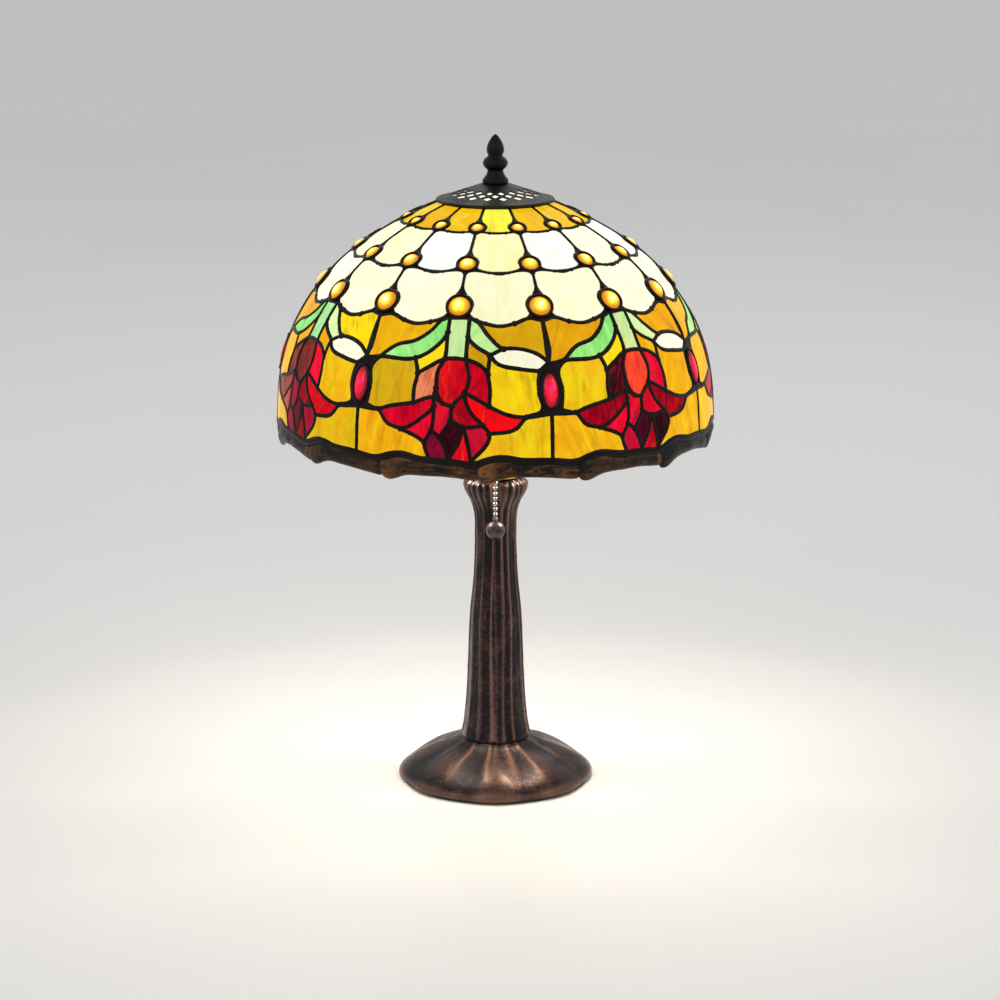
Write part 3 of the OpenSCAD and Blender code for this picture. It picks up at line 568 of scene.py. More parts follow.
upperPanes = {
    "glass_crown": [bothSides([
        (half, 42), (8, 41), gemSide(0, 150), gemSide(0, 90), gemSide(0, 30), (0, 26), (0, 1)])],
    "glass_cream_upper": [bothSides([
        (half, 95.5), (9, 93.5), gemSide(1, 120), gemSide(1, 80), gemSide(1, 40), (0, 74), (0, 43),
        gemSide(0, 155, 0.5), (8, 41)])],
    "glass_cream_lower": [bothSides([
        (half, 148.5), (8.5, 146), gemSide(2, 130), gemSide(2, 85), gemSide(2, 40), (0, 118), (0, 94),
        gemSide(1, 155), (9, 93.5)])],
}
bandPanes = {
    "glass_amber_upper": [
        [(-25.7, 143), (-22, 141), (-17.5, 146), (-12.9, 148.5), (-8.2, 146), (-4.2, 142), (-7.5, 154),
         (-11.5, 163.5), (-17, 169), (-21.2, 180.5), (-25.7, 183)],
        [(25.7, 143), (22, 141), (17.5, 146), (12.9, 148.5), (8.2, 146), (5.6, 143), (9.7, 158),
         (13.8, 169), (18.2, 169), (22.8, 173.5), (25.7, 181)]],
    "glass_leaves": [
        [(-4.2, 142), (-2.3, 141), (-2.3, 154.5), (-5.5, 169), (-10.5, 179), (-21.2, 180.5), (-17, 169),
         (-11.5, 163.5), (-7.5, 154)],
        [(3.6, 141), (5.6, 143), (9.7, 158), (13.8, 169), (10, 174.5), (5.8, 166), (3.6, 158)]],
    "glass_stems": [[(-2.3, 141), (3.6, 141), (3.6, 158), (3.6, 178.5), (-2.3, 178.5), (-2.3, 154.5)]],
    "glass_buds": [
        [(10, 174.5), (13.8, 169), (18.2, 169), (22.8, 173.5), (25.5, 182), (23.3, 189), (18, 186.5),
         (11.9, 181.5)]],
    "glass_amber_middle": [
        [(-2.3, 154.5), (-2.3, 178.5), (-6.4, 186), (-9.3, 192), (-10.5, 179), (-5.5, 169)],
        [(3.6, 158), (5.8, 166), (10, 174.5), (9.6, 191), (7.1, 182.5), (3.6, 178.5)],
        [(-23.2, 189), (-21.2, 180.5), (-10.5, 179), (-9.3, 192), (-9.8, 205), (-9.7, 217.5), (-16.4, 222.5),
         (-19.5, 226), (-23.2, 223), (-22.6, 206)],
        [(10, 174.5), (11.9, 181.5), (18, 186.5), (23.3, 189), (22.6, 206), (23.2, 223), (19.3, 228),
         (14.7, 226), (9.9, 218.5), (10.1, 204), (9.6, 191)]],
    "glass_amber_lower": [
        [(-25.7, 226), (-19.5, 226), (-16.7, 237), (-12.9, 241), (-6.4, 252)] + bottomRun(-5.3, -25.7),
        [(25.7, 226), (19.3, 228), (16.3, 238.5), (9.9, 242), (9.8, 248)] + bottomRun(5.4, 25.7)],
    "petals_crimson": [
        [(-2.3, 178.5), (3.6, 178.5), (4.6, 195), (3.6, 207), (0.5, 219), (-1.8, 217), (-3.9, 204),
         (-3.8, 189)],
        [(3.6, 207), (7.1, 213), (9.9, 218.5), (14.7, 226), (19.3, 228), (16.3, 238.5), (9.9, 242),
         (8.4, 235), (5.2, 223.5)],
        [(3.2, 236.5), (4.4, 248.5)] + bottomRun(5.4, -0.2) + [(2.3, 250)]],
    "petals_ruby": [
        [(3.6, 178.5), (7.1, 182.5), (9.6, 191), (10.1, 204), (9.9, 218.5), (7.1, 213), (3.6, 207),
         (4.6, 195)],
        [(-2.3, 178.5), (-3.8, 189), (-3.9, 204), (-4.4, 212), (-9.7, 217.5), (-9.8, 205), (-9.3, 192),
         (-6.4, 186)],
        [(-4.4, 212), (-4.2, 219), (-6.7, 228.5), (-12.9, 241), (-16.7, 237), (-19.5, 226), (-16.4, 222.5),
         (-9.7, 217.5)],
        [(-4.2, 219), (-4.7, 240.5), (-6.4, 252), (-12.9, 241), (-6.7, 228.5)],
        [(0.5, 219), (3.6, 207), (5.2, 223.5), (8.4, 235), (3.2, 236.5), (0.2, 231)]],
    "petals_maroon": [
        [(-4.4, 212), (-1.8, 217), (0.5, 219), (0.2, 231), (-2.6, 246), (-4.7, 240.5), (-4.2, 219)],
        [(0.2, 231), (3.2, 236.5), (2.3, 250), (-0.2, bottomSeam(-0.2)), (-2.6, 246)],
        [(-4.7, 240.5), (-2.6, 246)] + bottomRun(-0.2, -5.3) + [(-6.4, 252)],
        [(8.4, 235), (9.9, 242), (9.8, 248), (5.4, bottomSeam(5.4)), (4.4, 248.5), (3.2, 236.5)]],
}
seam = {
    "sampleLength": 3.0, "mergeDistance": 1.7, "bandHalfWidth": 2.45, "upperHalfWidth": 1.8,
    "halfHeight": 2.5, "skirtHeight": 2.2, "around": 8, "smoothTurn": 48.0, "chainTurn": 80.0,
    "bottomStart": 258, "bandStart": 139, "upperBlob": 2.5, "bandBlob": 3.3,
}

junctions = []          # (u, s) of each junction or bend
grid = {}


def junction(u, s):
    u %= 360
    cell = (round(u / 2), round(s / 5))
    for i in (-1, 0, 1):
        for j in (-1, 0, 1):
            for number in grid.get(((cell[0] + i) % 180, cell[1] + j), ()):
                other = junctions[number]
                across = ((other[0] - u + 180) % 360 - 180) * degreesWide(s)
                if hypot(across, other[1] - s) < seam["mergeDistance"]:
                    return number
    junctions.append((u, s))
    grid.setdefault((cell[0] % 180, cell[1]), []).append(len(junctions) - 1)
    return len(junctions) - 1


paneLoops = []          # (node, junction numbers, repeat, number of the pane in its list)
for panes, repeats, turn in ((upperPanes, 14, step), (bandPanes, 7, 2 * step)):
    for repeat in range(repeats):
        for nodeName, outlines in panes.items():
            for number, outline in enumerate(outlines):
                loop = [junction(u + turn * repeat, s) for u, s in outline]
                paneLoops.append((nodeName, loop, repeat, number))

seamUsers = {}
for nodeName, loop, repeat, number in paneLoops:
    for a, b in zip(loop, loop[1:] + loop[:1]):
        if a != b:
            seamUsers.setdefault((min(a, b), max(a, b)), []).append(nodeName)
neighbours = {}
for a, b in seamUsers:
    neighbours.setdefault(a, []).append(b)
    neighbours.setdefault(b, []).append(a)


def flatStep(a, b):
    # from junction a to junction b in the unrolled dome, in mm
    (ua, sa), (ub, sb) = junctions[a], junctions[b]
    return Vector((((ub - ua + 180) % 360 - 180) * degreesWide((sa + sb) / 2), sb - sa))


def seamTangent(a, b):
    # direction of the seam from a to b where it leaves a, bent to run on into the seam before it
    own = flatStep(a, b).normalized()
    limit = seam["chainTurn"] if len(neighbours[a]) == 2 else seam["smoothTurn"]
    best, found = cos(radians(limit)), None
    for c in neighbours[a]:
        if c != b:
            back = flatStep(c, a).normalized()
            if own.dot(back) > best:
                best, found = own.dot(back), back
    return own if found is None else (own + found).normalized()


def seamPoints(a, b):
    low, high = min(a, b), max(a, b)
    if (low, high) not in seamCache:
        chord = flatStep(low, high)
        size = chord.length
        t0, t1 = seamTangent(low, high) * size, seamTangent(high, low) * -size
        count = max(2, round(size / seam["sampleLength"]))
        (u0, s0), (u1, s1) = junctions[low], junctions[high]
        wide = degreesWide((s0 + s1) / 2)
        found = []
        for i in range(count + 1):
            t = i / count
            flat = (t**3 - 2 * t**2 + t) * t0 + (3 * t**2 - 2 * t**3) * chord + (t**3 - t**2) * t1
            found.append((u0 + flat.x / wide, s0 + flat.y))
        seamCache[(low, high)] = found
    found = seamCache[(low, high)]
    return found if a == low else list(reversed(found))


seamCache = {}
print("seams:", len(seamUsers))

# glass panes
paneSheet = {
    "thickness": 2.6, "cell": 7.0, "inset": 0.35, "wave": 0.25, "waveSize": 11.0, "streakSize": 9.0,
}


def slabShape(near, thickness, inset):
    # a slab on an outline of (u, s), flat and in mm, cut by a grid so that it can bend
    uMid = sum(u for u, s in near) / len(near)
    sMid = sum(s for u, s in near) / len(near)
    wide = degreesWide(sMid)
    flat = [Vector(((u - uMid) * wide, s - sMid, 0)) for u, s in near]
    shrink = 1 - inset / (sum(p.length for p in flat) / len(flat))
    bm = bmesh.new()
    bm.faces.new([bm.verts.new(p * shrink) for p in flat])
    bmesh.ops.remove_doubles(bm, verts=bm.verts[:], dist=0.05)
    for axis in (0, 1):
        low, high = min(p[axis] for p in flat), max(p[axis] for p in flat)
        count = max(1, round((high - low) / paneSheet["cell"]))
        for i in range(1, count):
            place, normal = Vector((0, 0, 0)), Vector((0, 0, 0))
            place[axis], normal[axis] = mixed(low, high, i / count), 1
            bmesh.ops.bisect_plane(bm, geom=bm.verts[:] + bm.edges[:] + bm.faces[:], dist=1e-4,
                                   plane_co=place, plane_no=normal)
    bmesh.ops.translate(bm, verts=bm.verts[:], vec=(0, 0, -thickness / 2))
    grown = bmesh.ops.extrude_face_region(bm, geom=bm.faces[:])["geom"]
    raised = [g for g in grown if isinstance(g, bmesh.types.BMVert)]
    bmesh.ops.translate(bm, verts=raised, vec=(0, 0, thickness))
    turnFaces(bm)
    return bm, uMid, sMid, wide


def ontoDome(bm, uMid, sMid, wide, wave=0.0, shift=0.0):
    size = paneSheet["waveSize"]
    for vertex in bm.verts:
        x, y, z = vertex.co
        ripple = wave * noise.noise(Vector((x / size + shift, y / size, 0)))
        vertex.co = domePoint(uMid + x / wide, sMid + y, z + ripple)
    turnFaces(bm)


def buildPane(loop, dice, tone, accent):
    outline = []
    for a, b in zip(loop, loop[1:] + loop[:1]):
        if a != b:
            outline += seamPoints(a, b)[:-1]
    u0 = junctions[loop[0]][0]
    near = [(u0 + ((u - u0 + 180) % 360 - 180), s) for u, s in outline]
    bm, uMid, sMid, wide = slabShape(near, paneSheet["thickness"], paneSheet["inset"])
    turn, shiftX, shiftY = dice.uniform(-0.5, 0.5), dice.uniform(0, 40), dice.uniform(0, 40)
    uvLayer = bm.loops.layers.uv.new("streaks")
    toneLayer = bm.faces.layers.float.new("tone")
    accentLayer = bm.faces.layers.float.new("accent")
    for face in bm.faces:
        face[toneLayer] = tone
        face[accentLayer] = accent
        for loopCorner in face.loops:
            x, y, z = loopCorner.vert.co
            along, across = x * cos(turn) - y * sin(turn), x * sin(turn) + y * cos(turn)
            size = paneSheet["streakSize"]
            loopCorner[uvLayer].uv = (along / size + shiftX, across / size + shiftY)
    ontoDome(bm, uMid, sMid, wide, paneSheet["wave"], shiftX)
    return bm


# for each node: its finish, its slot, the middle and spread of its panes' tones, and the panes given their
# own tone, as repeat: a (tone, accent) for each pane in its list
glassSheets = {
    "glass_crown": ("crown", "amber_glass", 0.42, 0.3, {0: [(1.1, 0)], 13: [(0.45, 0)], 1: [(0.4, 0)]}),
    # the front upper cream pane is yellower and the panes beside it paler: painted light from the bulbs that
    # stand behind them at either side
    "glass_cream_upper": ("cream", "cream_glass", 0.62, 0.3, {
        0: [(0.12, 0)], 13: [(0.95, 0)], 1: [(0.9, 0)]}),
    "glass_cream_lower": ("creamLow", "cream_glass", 0.6, 0.3, {0: [(0.4, 0)]}),
    "glass_amber_upper": ("amber", "amber_glass", 0.4, 0.22, {
        0: [(0.5, 0.1), (0.45, 0.35)], 1: [(0.25, 0.1)], 6: [None, (0.95, 0)]}),
    "glass_amber_middle": ("amber", "amber_glass", 0.55, 0.3, {
        0: [(1.1, 0), (0.25, 0.35), (0.6, 0.45), (0.85, 0)], 1: [(1.05, 0), None, (0.8, 0.1), (0.45, 0)],
        6: [None, None, None, (0.65, 0.1)]}),
    "glass_amber_lower": ("amberLow", "amber_glass", 0.5, 0.3, {
        0: [(0.4, 0), (0.75, 0.1)], 1: [(0.5, 0)], 6: [None, (0.7, 0.3)]}),
    "glass_leaves": ("leaf", "green_glass", 0.45, 0.4, {
        0: [(0.45, 0), (0.5, 0.5)], 1: [(0.4, 0), (0.8, 0.8)], 6: [(0.3, 0), (1.0, 0.7)]}),
    "glass_stems": ("stem", "green_glass", 0.5, 0.3, {0: [(0.6, 0.3)], 1: [(0.5, 0.8)], 6: [(0.4, 0)]}),
    "glass_buds": ("bud", "cream_glass", 0.6, 0.2, {}),
    "petals_crimson": ("crimson", "crimson_glass", 0.45, 0.3, {
        0: [(0.62, 0), (1.0, 0), (0.75, 0)], 1: [(0.95, 0.3), (0.22, 0), (0.4, 0)],
        6: [(0, 0.08), (0.55, 0), (0.1, 0)]}),
    "petals_ruby": ("ruby", "ruby_glass", 0.45, 0.35, {
        0: [(0.55, 0), (0.5, 1.0), (0.68, 0), (0.95, 0), (0.45, 0)],
        1: [(0.85, 0), (0.05, 0), (0.3, 0), (0.95, 0), (0.75, 0)],
        6: [(1.0, 0), (0.15, 0.15), (0.15, 0.2), (0.3, 0.4), (0.3, 0)]}),
    "petals_maroon": ("maroon", "maroon_glass", 0.35, 0.35, {
        0: [(0.9, 0.85), (0, 0), (0.7, 0), (0.9, 0.7)], 1: [(0.9, 1.0), (0.35, 0), (1.2, 0.5), (-0.1, 0)],
        6: [(0.6, 0.4), (0.3, 0.1), (0.75, 0.1), (0.9, 0.2)]}),
}
dice = random.Random(7)
paneMeshes = {nodeName: bmesh.new() for nodeName in glassSheets}
for nodeName, loop, repeat, number in paneLoops:
    middle, spread, chosen = glassSheets[nodeName][2:]
    tone = middle + dice.uniform(-0.5, 0.5) * spread
    accent = 0.6 * max(0.0, dice.uniform(-2.0, 1.0))
    givenTones = chosen.get(repeat, [])
    if number < len(givenTones) and givenTones[number]:
        tone, accent = givenTones[number]
    addTo(paneMeshes[nodeName], buildPane(loop, dice, tone, accent))
for nodeName, bm in paneMeshes.items():
    finish, slotName = glassSheets[nodeName][:2]
    first, *others = nodeName.split("_")
    name = first + "".join(word.capitalize() for word in others) + "Panes"
    newMesh(name, bm, "shade", materials[finish], [nodeName], slotName, smooth=False)
print("glass panes:", len(paneLoops))


# lead seams: a rounded bead of solder along every seam
def sweepBead(points, halfWidths, halfHeight, around, closed=False):
    # points are (u, s); the bead's section is an oval whose height stands on the dome
    places = [domePoint(u, s) for u, s in points]
    frames = []
    last = len(places) - 1
    for i, (u, s) in enumerate(points):
        after = (i + 1) % len(places) if closed else min(i + 1, last)
        along = (places[after] - places[i - 1 if closed else max(i - 1, 0)]).normalized()
        up = domeNormal(u, s)
        frames.append((places[i], along.cross(up).normalized(), up))

    def place(level, i):
        angle = 2 * pi * i / around
        centre, side, up = frames[level]
        offset = side * cos(angle) * halfWidths[level] + up * sin(angle) * halfHeight
        return centre + offset * mm
    return ringLoft(around, len(points), place, closed)


def beadWidths(points, base, dice):
    return [base * (1 + 0.07 * dice.uniform(-1, 1)) for point in points]


def beadHeight(s):
    # lower on the skirt, which is nearly as wide as the frame's box
    share = min(1, max(0, (s - 190) / 50))
    return mixed(seam["halfHeight"], seam["skirtHeight"], share)


def blob(u, s, radius, height):
    bm = bmesh.new()
    bmesh.ops.create_icosphere(bm, subdivisions=2, radius=1.0)
    side, down, up = axesAt(u, s)
    for vertex in bm.verts:
        x, y, z = vertex.co
        vertex.co = domePoint(u, s) + (side * x * radius + down * y * radius + up * z * height) * mm
    return bm


upperNodes = set(upperPanes)
dice = random.Random(21)
leadUpper, leadBand = bmesh.new(), bmesh.new()
for (a, b), users in seamUsers.items():
    points = seamPoints(a, b)
    isUpper = set(users) <= upperNodes
    base = seam["upperHalfWidth"] if isUpper else seam["bandHalfWidth"]
    if min(junctions[a][1], junctions[b][1]) > seam["bottomStart"]:
        continue        # the twigs cover the bottom edge
    height = beadHeight(max(junctions[a][1], junctions[b][1]))
    addTo(leadUpper if isUpper else leadBand,
          sweepBead(points, beadWidths(points, base, dice), height, seam["around"]))
for number, (u, s) in enumerate(junctions):
    if s > seam["bottomStart"] or len(neighbours[number]) < 3:
        continue
    radius = seam["upperBlob" if s < 140 else "bandBlob"] * dice.uniform(0.9, 1.12)
    addTo(leadUpper if s < seam["bandStart"] else leadBand, blob(u, s, radius, beadHeight(s) + 0.1))


# gems and jewels, each in its bezel, with a spade of solder above every gem
def cabochonShape(u, s, halfAcross, halfDown, rise, segments, rings):
    bm = bmesh.new()
    bmesh.ops.create_uvsphere(bm, u_segments=segments, v_segments=rings, radius=1.0)
    paintedHighlight = bm.verts.layers.float.new("paintedHighlight")
    side, down, up = axesAt(u, s)
    for vertex in bm.verts:
        x, y, z = vertex.co
        # the middle of each cabochon's face carries the painted highlight
        vertex[paintedHighlight] = max(0.0, 1 - hypot(x, y)) if z > 0 else 0.3
        height = rise * z if z > 0 else 1.8 * z
        vertex.co = domePoint(u, s) + (side * x * halfAcross + down * y * halfDown + up * height) * mm
    return bm


def bezelShape(u, s, halfAcross, halfDown, halfWidth, halfHeight):
    side, down, up = axesAt(u, s)

    def place(level, i):
        turn, angle = 2 * pi * level / 32, 2 * pi * i / 8
        out = side * cos(turn) * (halfAcross + halfWidth * cos(angle))
        out += down * sin(turn) * (halfDown + halfWidth * cos(angle))
        return domePoint(u, s) + (out + up * (0.6 + halfHeight * sin(angle))) * mm
    return ringLoft(8, 32, place, True)


jewel = {
    "at": 206.0, "halfAcross": 7.4, "halfDown": 15.5, "rise": 4.3,
    # solder that fills the corners above and below, by (angle from the jewel, length down the dome)
    "webs": [
        [(-2.4, 189), (-0.3, 182), (0.7, 181), (4.5, 180.6), (2.5, 189), (1.6, 192.5), (0, 189.6),
         (-1.6, 192.5)],
        [(-2.6, 222), (-1.5, 219.4), (0, 222.4), (1.5, 219.4), (2.6, 222), (6.2, 226), (0, 227.5),
         (-6.4, 228)]],
}
spadeWidths = [1.5, 1.7, 2.1, 2.9, 4.0, 5.4]
gemMesh, jewelMesh = bmesh.new(), bmesh.new()
for repeat in range(14):
    u = step * repeat
    for row, (s, radius) in enumerate(gemRows):
        seen, rise = radius * 1.02, 1.2 + radius * 0.42
        addTo(gemMesh, cabochonShape(u, s, seen, seen, rise, 24, 16))
        addTo(leadUpper, bezelShape(u, s, radius + 1.5, radius + 1.5, 1.5, 2.4))
        top = s - radius - 3.0
        points = [(u, top - 11 + 2.2 * i) for i in range(len(spadeWidths))]
        addTo(leadUpper, sweepBead(points, [w * (0.6 + radius / 18) for w in spadeWidths], 2.2, 8))
    if repeat % 2:
        across, down = jewel["halfAcross"], jewel["halfDown"]
        addTo(jewelMesh, cabochonShape(u, jewel["at"], across, down, jewel["rise"], 28, 18))
        addTo(leadBand, bezelShape(u, jewel["at"], across + 0.9, down + 0.9, 1.9, 2.2))
        for web in jewel["webs"]:
            bm, uMid, sMid, wide = slabShape([(u + across, s) for across, s in web], 4.0, -0.6)
            ontoDome(bm, uMid, sMid, wide)
            addTo(leadBand, bm)
newMesh("gemCabochons", gemMesh, "shade", materials["gem"], ["gems"], "gem_glass")
newMesh("jewelCabochons", jewelMesh, "shade", materials["jewel"], ["jewels"], "jewel_glass")

# twig border
def twigShape(k):
    dice = random.Random(100 + k)
    rubAndHighlight, cutEnd = twig["rubAndHighlight"].get(k, 0.3), twig["cutEnds"].get(k, 0.0)
    knots = [(dice.uniform(*spot[:2]), dice.uniform(*spot[2:])) for spot in twig["knots"]]
    ridges = {}

    def place(level, i):
        t = (level / (twig["rings"] - 1)) ** 1.35
        angle = 2 * pi * i / twig["around"]
        u = step * k + twig["start"] + (step + twig["overlap"]) * t
        wander = 0.6 * sin(6.5 * t + 2.1 * k)
        lower, upper = twigBottom(t) + wander, twigTop(t) + 0.4 * wander
        rounded = sqrt(max(0.05, 1 - (1 - min(1, t / 0.06)) ** 2))
        closing = rounded * min(1, 0.5 + 12 * (1 - t))
        halfHigh = (upper - lower) / 2 * closing
        thick = (twig["halfThick"] + 0.4 * bell(t, 0.12, 0.15)) * closing
        across, high = cos(angle), sin(angle)
        x, y = t * twig["length"], high * halfHigh
        grain = noise.noise(Vector((x / 13, y / 2.1, 7.3 * k)))
        grain += 0.5 * noise.noise(Vector((x / 5, y / 1.0, 3.1 * k)))
        bump = grain * twig["bark"]
        colourShare = 0.12 + 0.85 * grain + 0.5 * bell(t, 0.08, 0.12)
        for at, side in knots:
            distance = hypot(x - at * twig["length"], (y - side * halfHigh) * 1.5)
            bump += 0.8 * bell(distance, 3.2, 1.3) - 1.0 * bell(distance, 0, 1.6)
            colourShare += 0.4 * bell(distance, 3.2, 1.3) - 0.8 * bell(distance, 0, 1.8)
        if across > 0:
            away = hypot((t - twig["cutAt"]) * twig["length"] * 1.3, y * 0.8)
            bump += cutEnd * (0.9 * bell(away, 3.2, 0.9) - 0.6 * bell(away, 0, 1.6))
            colourShare += cutEnd * 2.0 * bell(away, 2.6, 1.5)
        patch = noise.noise(Vector((x / 24, y / 9, 5.7 * k)))
        atCut = 0.5 * cutEnd * bell(t, twig["cutAt"], 0.06)
        share = (colourShare + 0.35 * patch) * mixed(rubAndHighlight, 1.0, atCut)
        # the lighter colour, rubbed finish and painted highlight, reaches less onto the face toward the glass
        ridges[(level, i)] = max(0.0, min(1.0, share * (1.0 if across > -0.2 else 0.3)))
        tucked = 1.6 * min(1, max(0, (t - twig["cutAt"]) / 0.05))
        r = twig["radius"] - tucked + (thick + 0.55 * min(bump, 1.3)) * across
        z = (lower + upper) / 2 + (halfHigh + bump * 0.5) * high
        a = radians(dome["firstTulip"] - 90 + u)
        return polar(r, a, z) * mm
    return ringLoft(twig["around"], twig["rings"], place, False, ridges)


twigMesh = bmesh.new()
for k in range(14):
    addTo(twigMesh, twigShape(k))
# the lead between the glass and the twigs follows their upper edges
rim = {"points": 280, "halfWidth": 3.6, "drop": 2.1, "around": 10}
angles = [360 * i / rim["points"] for i in range(rim["points"])]
edge = [(u, bottomSeam(u) + rim["drop"]) for u in angles]
addTo(leadBand, sweepBead(edge, [rim["halfWidth"]] * len(edge), seam["skirtHeight"], rim["around"],
                          closed=True))
newMesh("castTwigBorder", twigMesh, "shade", materials["twig"], ["twig_border"], "twig_metal")
newMesh("leadSeamsUpper", leadUpper, "shade", materials["lead"], ["lead_upper"], "lead")
newMesh("leadSeamsBand", leadBand, "shade", materials["lead"], ["lead_band"], "lead")
print("lead, gems and twigs")

# column: a tapering trunk of slim ridges that flares below the shade
column = {
    "bottom": 40.4, "top": 292.0, "bore": 5.2, "ridges": 14, "ridgeHeight": 1.8, "hollow": 1.3,
    "around": 168, "levels": 84,
    "curve": [(0, 33), (15, 30), (40, 27.6), (70, 26), (100, 25), (125, 23.6), (150, 21), (175, 19.6),
              (195, 19.2), (217, 20), (228, 23), (237, 28), (243, 29.8), (247, 29.8), (251.6, 26)],
}
dice = random.Random(5)
ridgeList = [(360 / column["ridges"] * k + dice.uniform(-5, 5), dice.uniform(0.5, 1.0), dice.uniform(0, 6))
             for k in range(column["ridges"])]
ridgeList += [(dice.uniform(0, 360), dice.uniform(0.2, 0.5), dice.uniform(0, 6)) for k in range(10)]


def columnRidge(angle, height):
    found = 0.0
    for at, strength, phase in ridgeList:
        wander = 2.2 * sin(height / 38 + phase)
        away = (angle - at - wander + 180) % 360 - 180
        found += strength * bell(away, 0, 3.4 + 1.4 * sin(height / 60 + phase))
    flare = bell(height, 240, 14)
    found = mixed(found, 0.5 + 0.5 * cos(radians(angle * 26)), 0.65 * flare)
    return min(1.0, found)


columnRidges = {}


def columnPlace(level, i):
    angle = 360 * i / column["around"]
    a = radians(angle)
    top = column["levels"] - 1
    if level in (0, top):
        end = column["bottom"] if level == 0 else column["top"]
        return polar(column["bore"], a, end) * mm
    t = (level - 1) / (top - 2)
    height = (column["top"] - column["bottom"]) * t
    ridge = columnRidge(angle, height) if 1 < level < top - 1 else 0.0
    # the ridges, the flutes of the flare among them, take the lighter colour: partly rubbed finish, partly
    # painted highlight
    columnRidges[(level, i)] = 0.85 * ridge ** 1.5
    r = curveValue(column["curve"], height) - column["hollow"] + column["ridgeHeight"] * ridge
    r += 0.18 * noise.noise(polar(9, a, height / 9))
    return polar(r, a, column["bottom"] + height) * mm


bm = ringLoft(column["around"], column["levels"], columnPlace, True, columnRidges)
newMesh("columnCasting", bm, "stand", materials["column"], ["column"], "bronze")

# foot: the ridges run out into broad roots
foot = {
    "lobes": 8, "around": 192, "cordHole": (6.0, 85.0, 12.5), "cordDepth": 30.0,
    "outer": [(5.2, 40.2), (26, 40.2), (34, 39.4), (38, 36.6), (43, 34.0), (50, 31.4), (56, 29.0), (62, 26.4),
              (68, 23.6), (74, 20.6), (79, 17.6), (83.5, 14.6), (87, 11.8), (90, 9.0), (91.6, 6.2), (92, 4.2),
              (91.4, 2.6), (90.4, 2.2)],
    "inner": [(87, 2.2), (86.4, 7), (83, 10.6), (74, 15), (62, 20.4), (50, 25.6), (40, 30), (31, 33.6),
              (5.2, 34.2)],
}
footCurve = foot["outer"] + foot["inner"]
footRidges = {}


def footPlace(level, i):
    angle = 2 * pi * i / foot["around"]
    r, z = footCurve[level]
    ridge = 0.0
    if level < len(foot["outer"]):
        lobe = 0.5 + 0.5 * cos(foot["lobes"] * angle)
        middle = bell(r, 66, 20)
        vein = min(1, sum(strength * bell((degrees(angle) - at + 180) % 360 - 180, 0, 2.6)
                          for at, strength, phase in ridgeList))
        if 34 < r < 91:
            z += 2.6 * (lobe - 0.6) * middle + 0.8 * vein * bell(r, 48, 22)
        if r > 60:
            r -= 2.2 * (1 - lobe) * (r - 60) / 32
        # lobes, veins and the rim's edge take the lighter colour: partly rubbed finish, partly painted
        # highlight
        ridge = min(1.0, 0.25 * lobe * middle + 0.7 * vein * bell(r, 46, 22) + 0.5 * bell(r, 91, 2.5))
    footRidges[(level, i)] = ridge
    return polar(r, angle, z) * mm


bm = ringLoft(foot["around"], len(footCurve), footPlace, True, footRidges)
footPiece = newMesh("footCasting", bm, "stand", materials["foot"], ["base_casting"], "bronze")
cutter = bmesh.new()
radius, y, z = (value * mm for value in foot["cordHole"])
place = Matrix.Translation((0, y, z)) @ Matrix.Rotation(pi / 2, 4, "X")
bmesh.ops.create_cone(cutter, cap_ends=True, segments=48, radius1=radius, radius2=radius,
                      depth=foot["cordDepth"] * mm, matrix=place)
cutAway(footPiece, cutter)
print("stand")

# cap: thin spun sheet with a lattice of diamond vents
cap = {
    "outline": [(5.2, 563.0), (12.8, 563.0), (13.6, 564.0), (49.0, 551.7), (51.2, 551.0), (51.5, 549.6),
                (54.0, 549.6), (54.4, 551.0), (53.4, 552.2), (49.0, 552.8), (14.0, 565.0), (5.2, 565.0)],
    "vents": [(28.4, 4.3, 3.5), (33.4, 4.7, 3.7), (38.6, 5.2, 3.8)], "ventsInRow": 17, "ventHeight": 556,
    # the disc of painted glow under the vents
    "paintedGlowDisc": [(23.0, 559.8), (44.5, 552.4), (44.5, 552.9), (23.0, 560.3)],
}
capPiece = newMesh("ventedSheetCap", spunShape(cap["outline"], 120), "cap", materials["cap"],
                   ["vented_cap"], "bronze")
cutter = bmesh.new()
for row, (radius, across, along) in enumerate(cap["vents"]):
    for k in range(cap["ventsInRow"]):
        turn = Matrix.Rotation(2 * pi * (k + 0.5 * row + 0.25) / cap["ventsInRow"], 4, "Z")
        place = Matrix.Translation((radius * mm, 0, cap["ventHeight"] * mm))
        size = Matrix.Diagonal((along * mm, across * mm, 20 * mm, 1.0))
        bmesh.ops.create_cone(cutter, cap_ends=True, segments=4, radius1=1.0, radius2=1.0, depth=1.0,
                              matrix=turn @ place @ size)
cutAway(capPiece, cutter)
# a glowing disc below the sheet is painted light: it stands in for the lit inside of the shade seen through
# the vents
newMesh("paintedVentGlowDisc", spunShape(cap["paintedGlowDisc"], 96), "cap", materials["paintedGlowDisc"], [], "cream_glass")
print("cap")

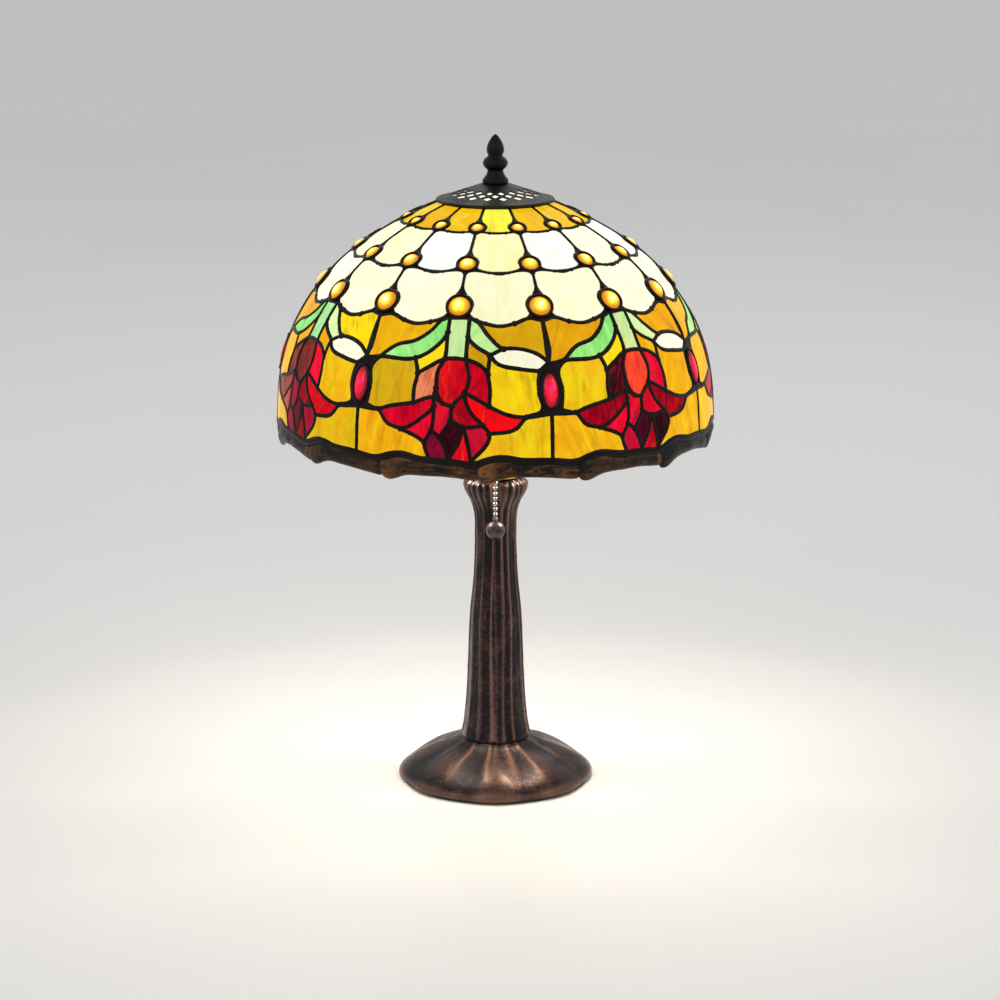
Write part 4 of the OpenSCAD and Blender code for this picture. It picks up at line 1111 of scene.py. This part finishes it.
# finial
finial = {
    "tip": 610.0, "bottom": 565.2, "bore": 4.88, "boreTop": 587.0, "length": 44.8, "rings": 90,
    "curve": [(0, 0.6), (1.2, 2.0), (3, 3.6), (8, 6.6), (13, 7.9), (16, 7.8), (18.4, 6.8), (19.4, 6.7),
              (20.5, 7.6), (22.5, 10), (26, 11.4), (29.5, 10.2), (32, 7.6), (33.2, 7.3), (35, 7.6),
              (38.5, 9.6), (41, 11.6), (43.4, 11.8), (44.8, 11.2)],
}
outline = [(0.0, finial["tip"])]
for i in range(finial["rings"] + 1):
    depth = finial["length"] * i / finial["rings"]
    outline.append((curveValue(finial["curve"], depth), finial["tip"] - depth))
outline += [(finial["bore"], finial["bottom"]), (finial["bore"], finial["boreTop"]),
            (0.0, finial["boreTop"])]
bm = spunShape(outline, 72)
newMesh("turnedFinial", bm, "finial", materials["bronze"], ["finial"], "bronze")
print("finial")

# floor, light and camera
floorMesh = bmesh.new()
bmesh.ops.create_grid(floorMesh, x_segments=4, y_segments=4, size=30.0)
floorData = bpy.data.meshes.new("floor")
floorMesh.to_mesh(floorData)
floorMesh.free()
floorData.materials.append(handled("paleFloor", "#e4e2dd", "#e2e0db", 0.7, 0.0, 1.2, 0.0))
floorPiece = newObject("floor", floorData)

studio = {
    "world": 0.7, "worldColour": (0.93, 0.95, 1.0, 1.0), "aim": (0, 0, 0.35), "bulbColour": (1.0, 0.95, 0.86),
    # place, size and power of each light
    "bulbLights": [((-0.108, 0, 0.362), 0.034, 2.2), ((0.108, 0, 0.362), 0.034, 2.2),
                   ((0, 0.05, 0.51), 0.01, 1.2)],
    "panels": [((-1.8, -2.2, 2.2), 1.6, 14), ((2.4, -1.4, 1.8), 1.2, 9), ((0.2, 1.8, 2.6), 1.8, 12)],
}
scene.world = bpy.data.worlds.new("studio")
scene.world.use_nodes = True
setInputs(scene.world.node_tree, scene.world.node_tree.nodes["Background"],
          {"Color": studio["worldColour"], "Strength": studio["world"]})
for place, size, power in studio["panels"]:
    light = bpy.data.lights.new("panel", "AREA")
    light.size, light.energy = size, power
    panel = newObject("panel", light)
    panel.location = place
    panel.rotation_euler = (Vector(place) - Vector(studio["aim"])).to_track_quat("Z", "Y").to_euler()
for place, size, power in studio["bulbLights"]:
    light = bpy.data.lights.new("bulbLight", "POINT")
    light.energy, light.shadow_soft_size, light.color = power, size, studio["bulbColour"]
    newObject("bulbLight", light).location = place

lens = bpy.data.cameras.new("camera")
lens.sensor_width, lens.lens = 36, 107.2
scene.camera = newObject("camera", lens)
scene.camera.location = (0.0042, -2.699, 0.9287)
scene.camera.rotation_euler = (radians(76.26), 0, 0)
scene.view_settings.view_transform = "Standard"
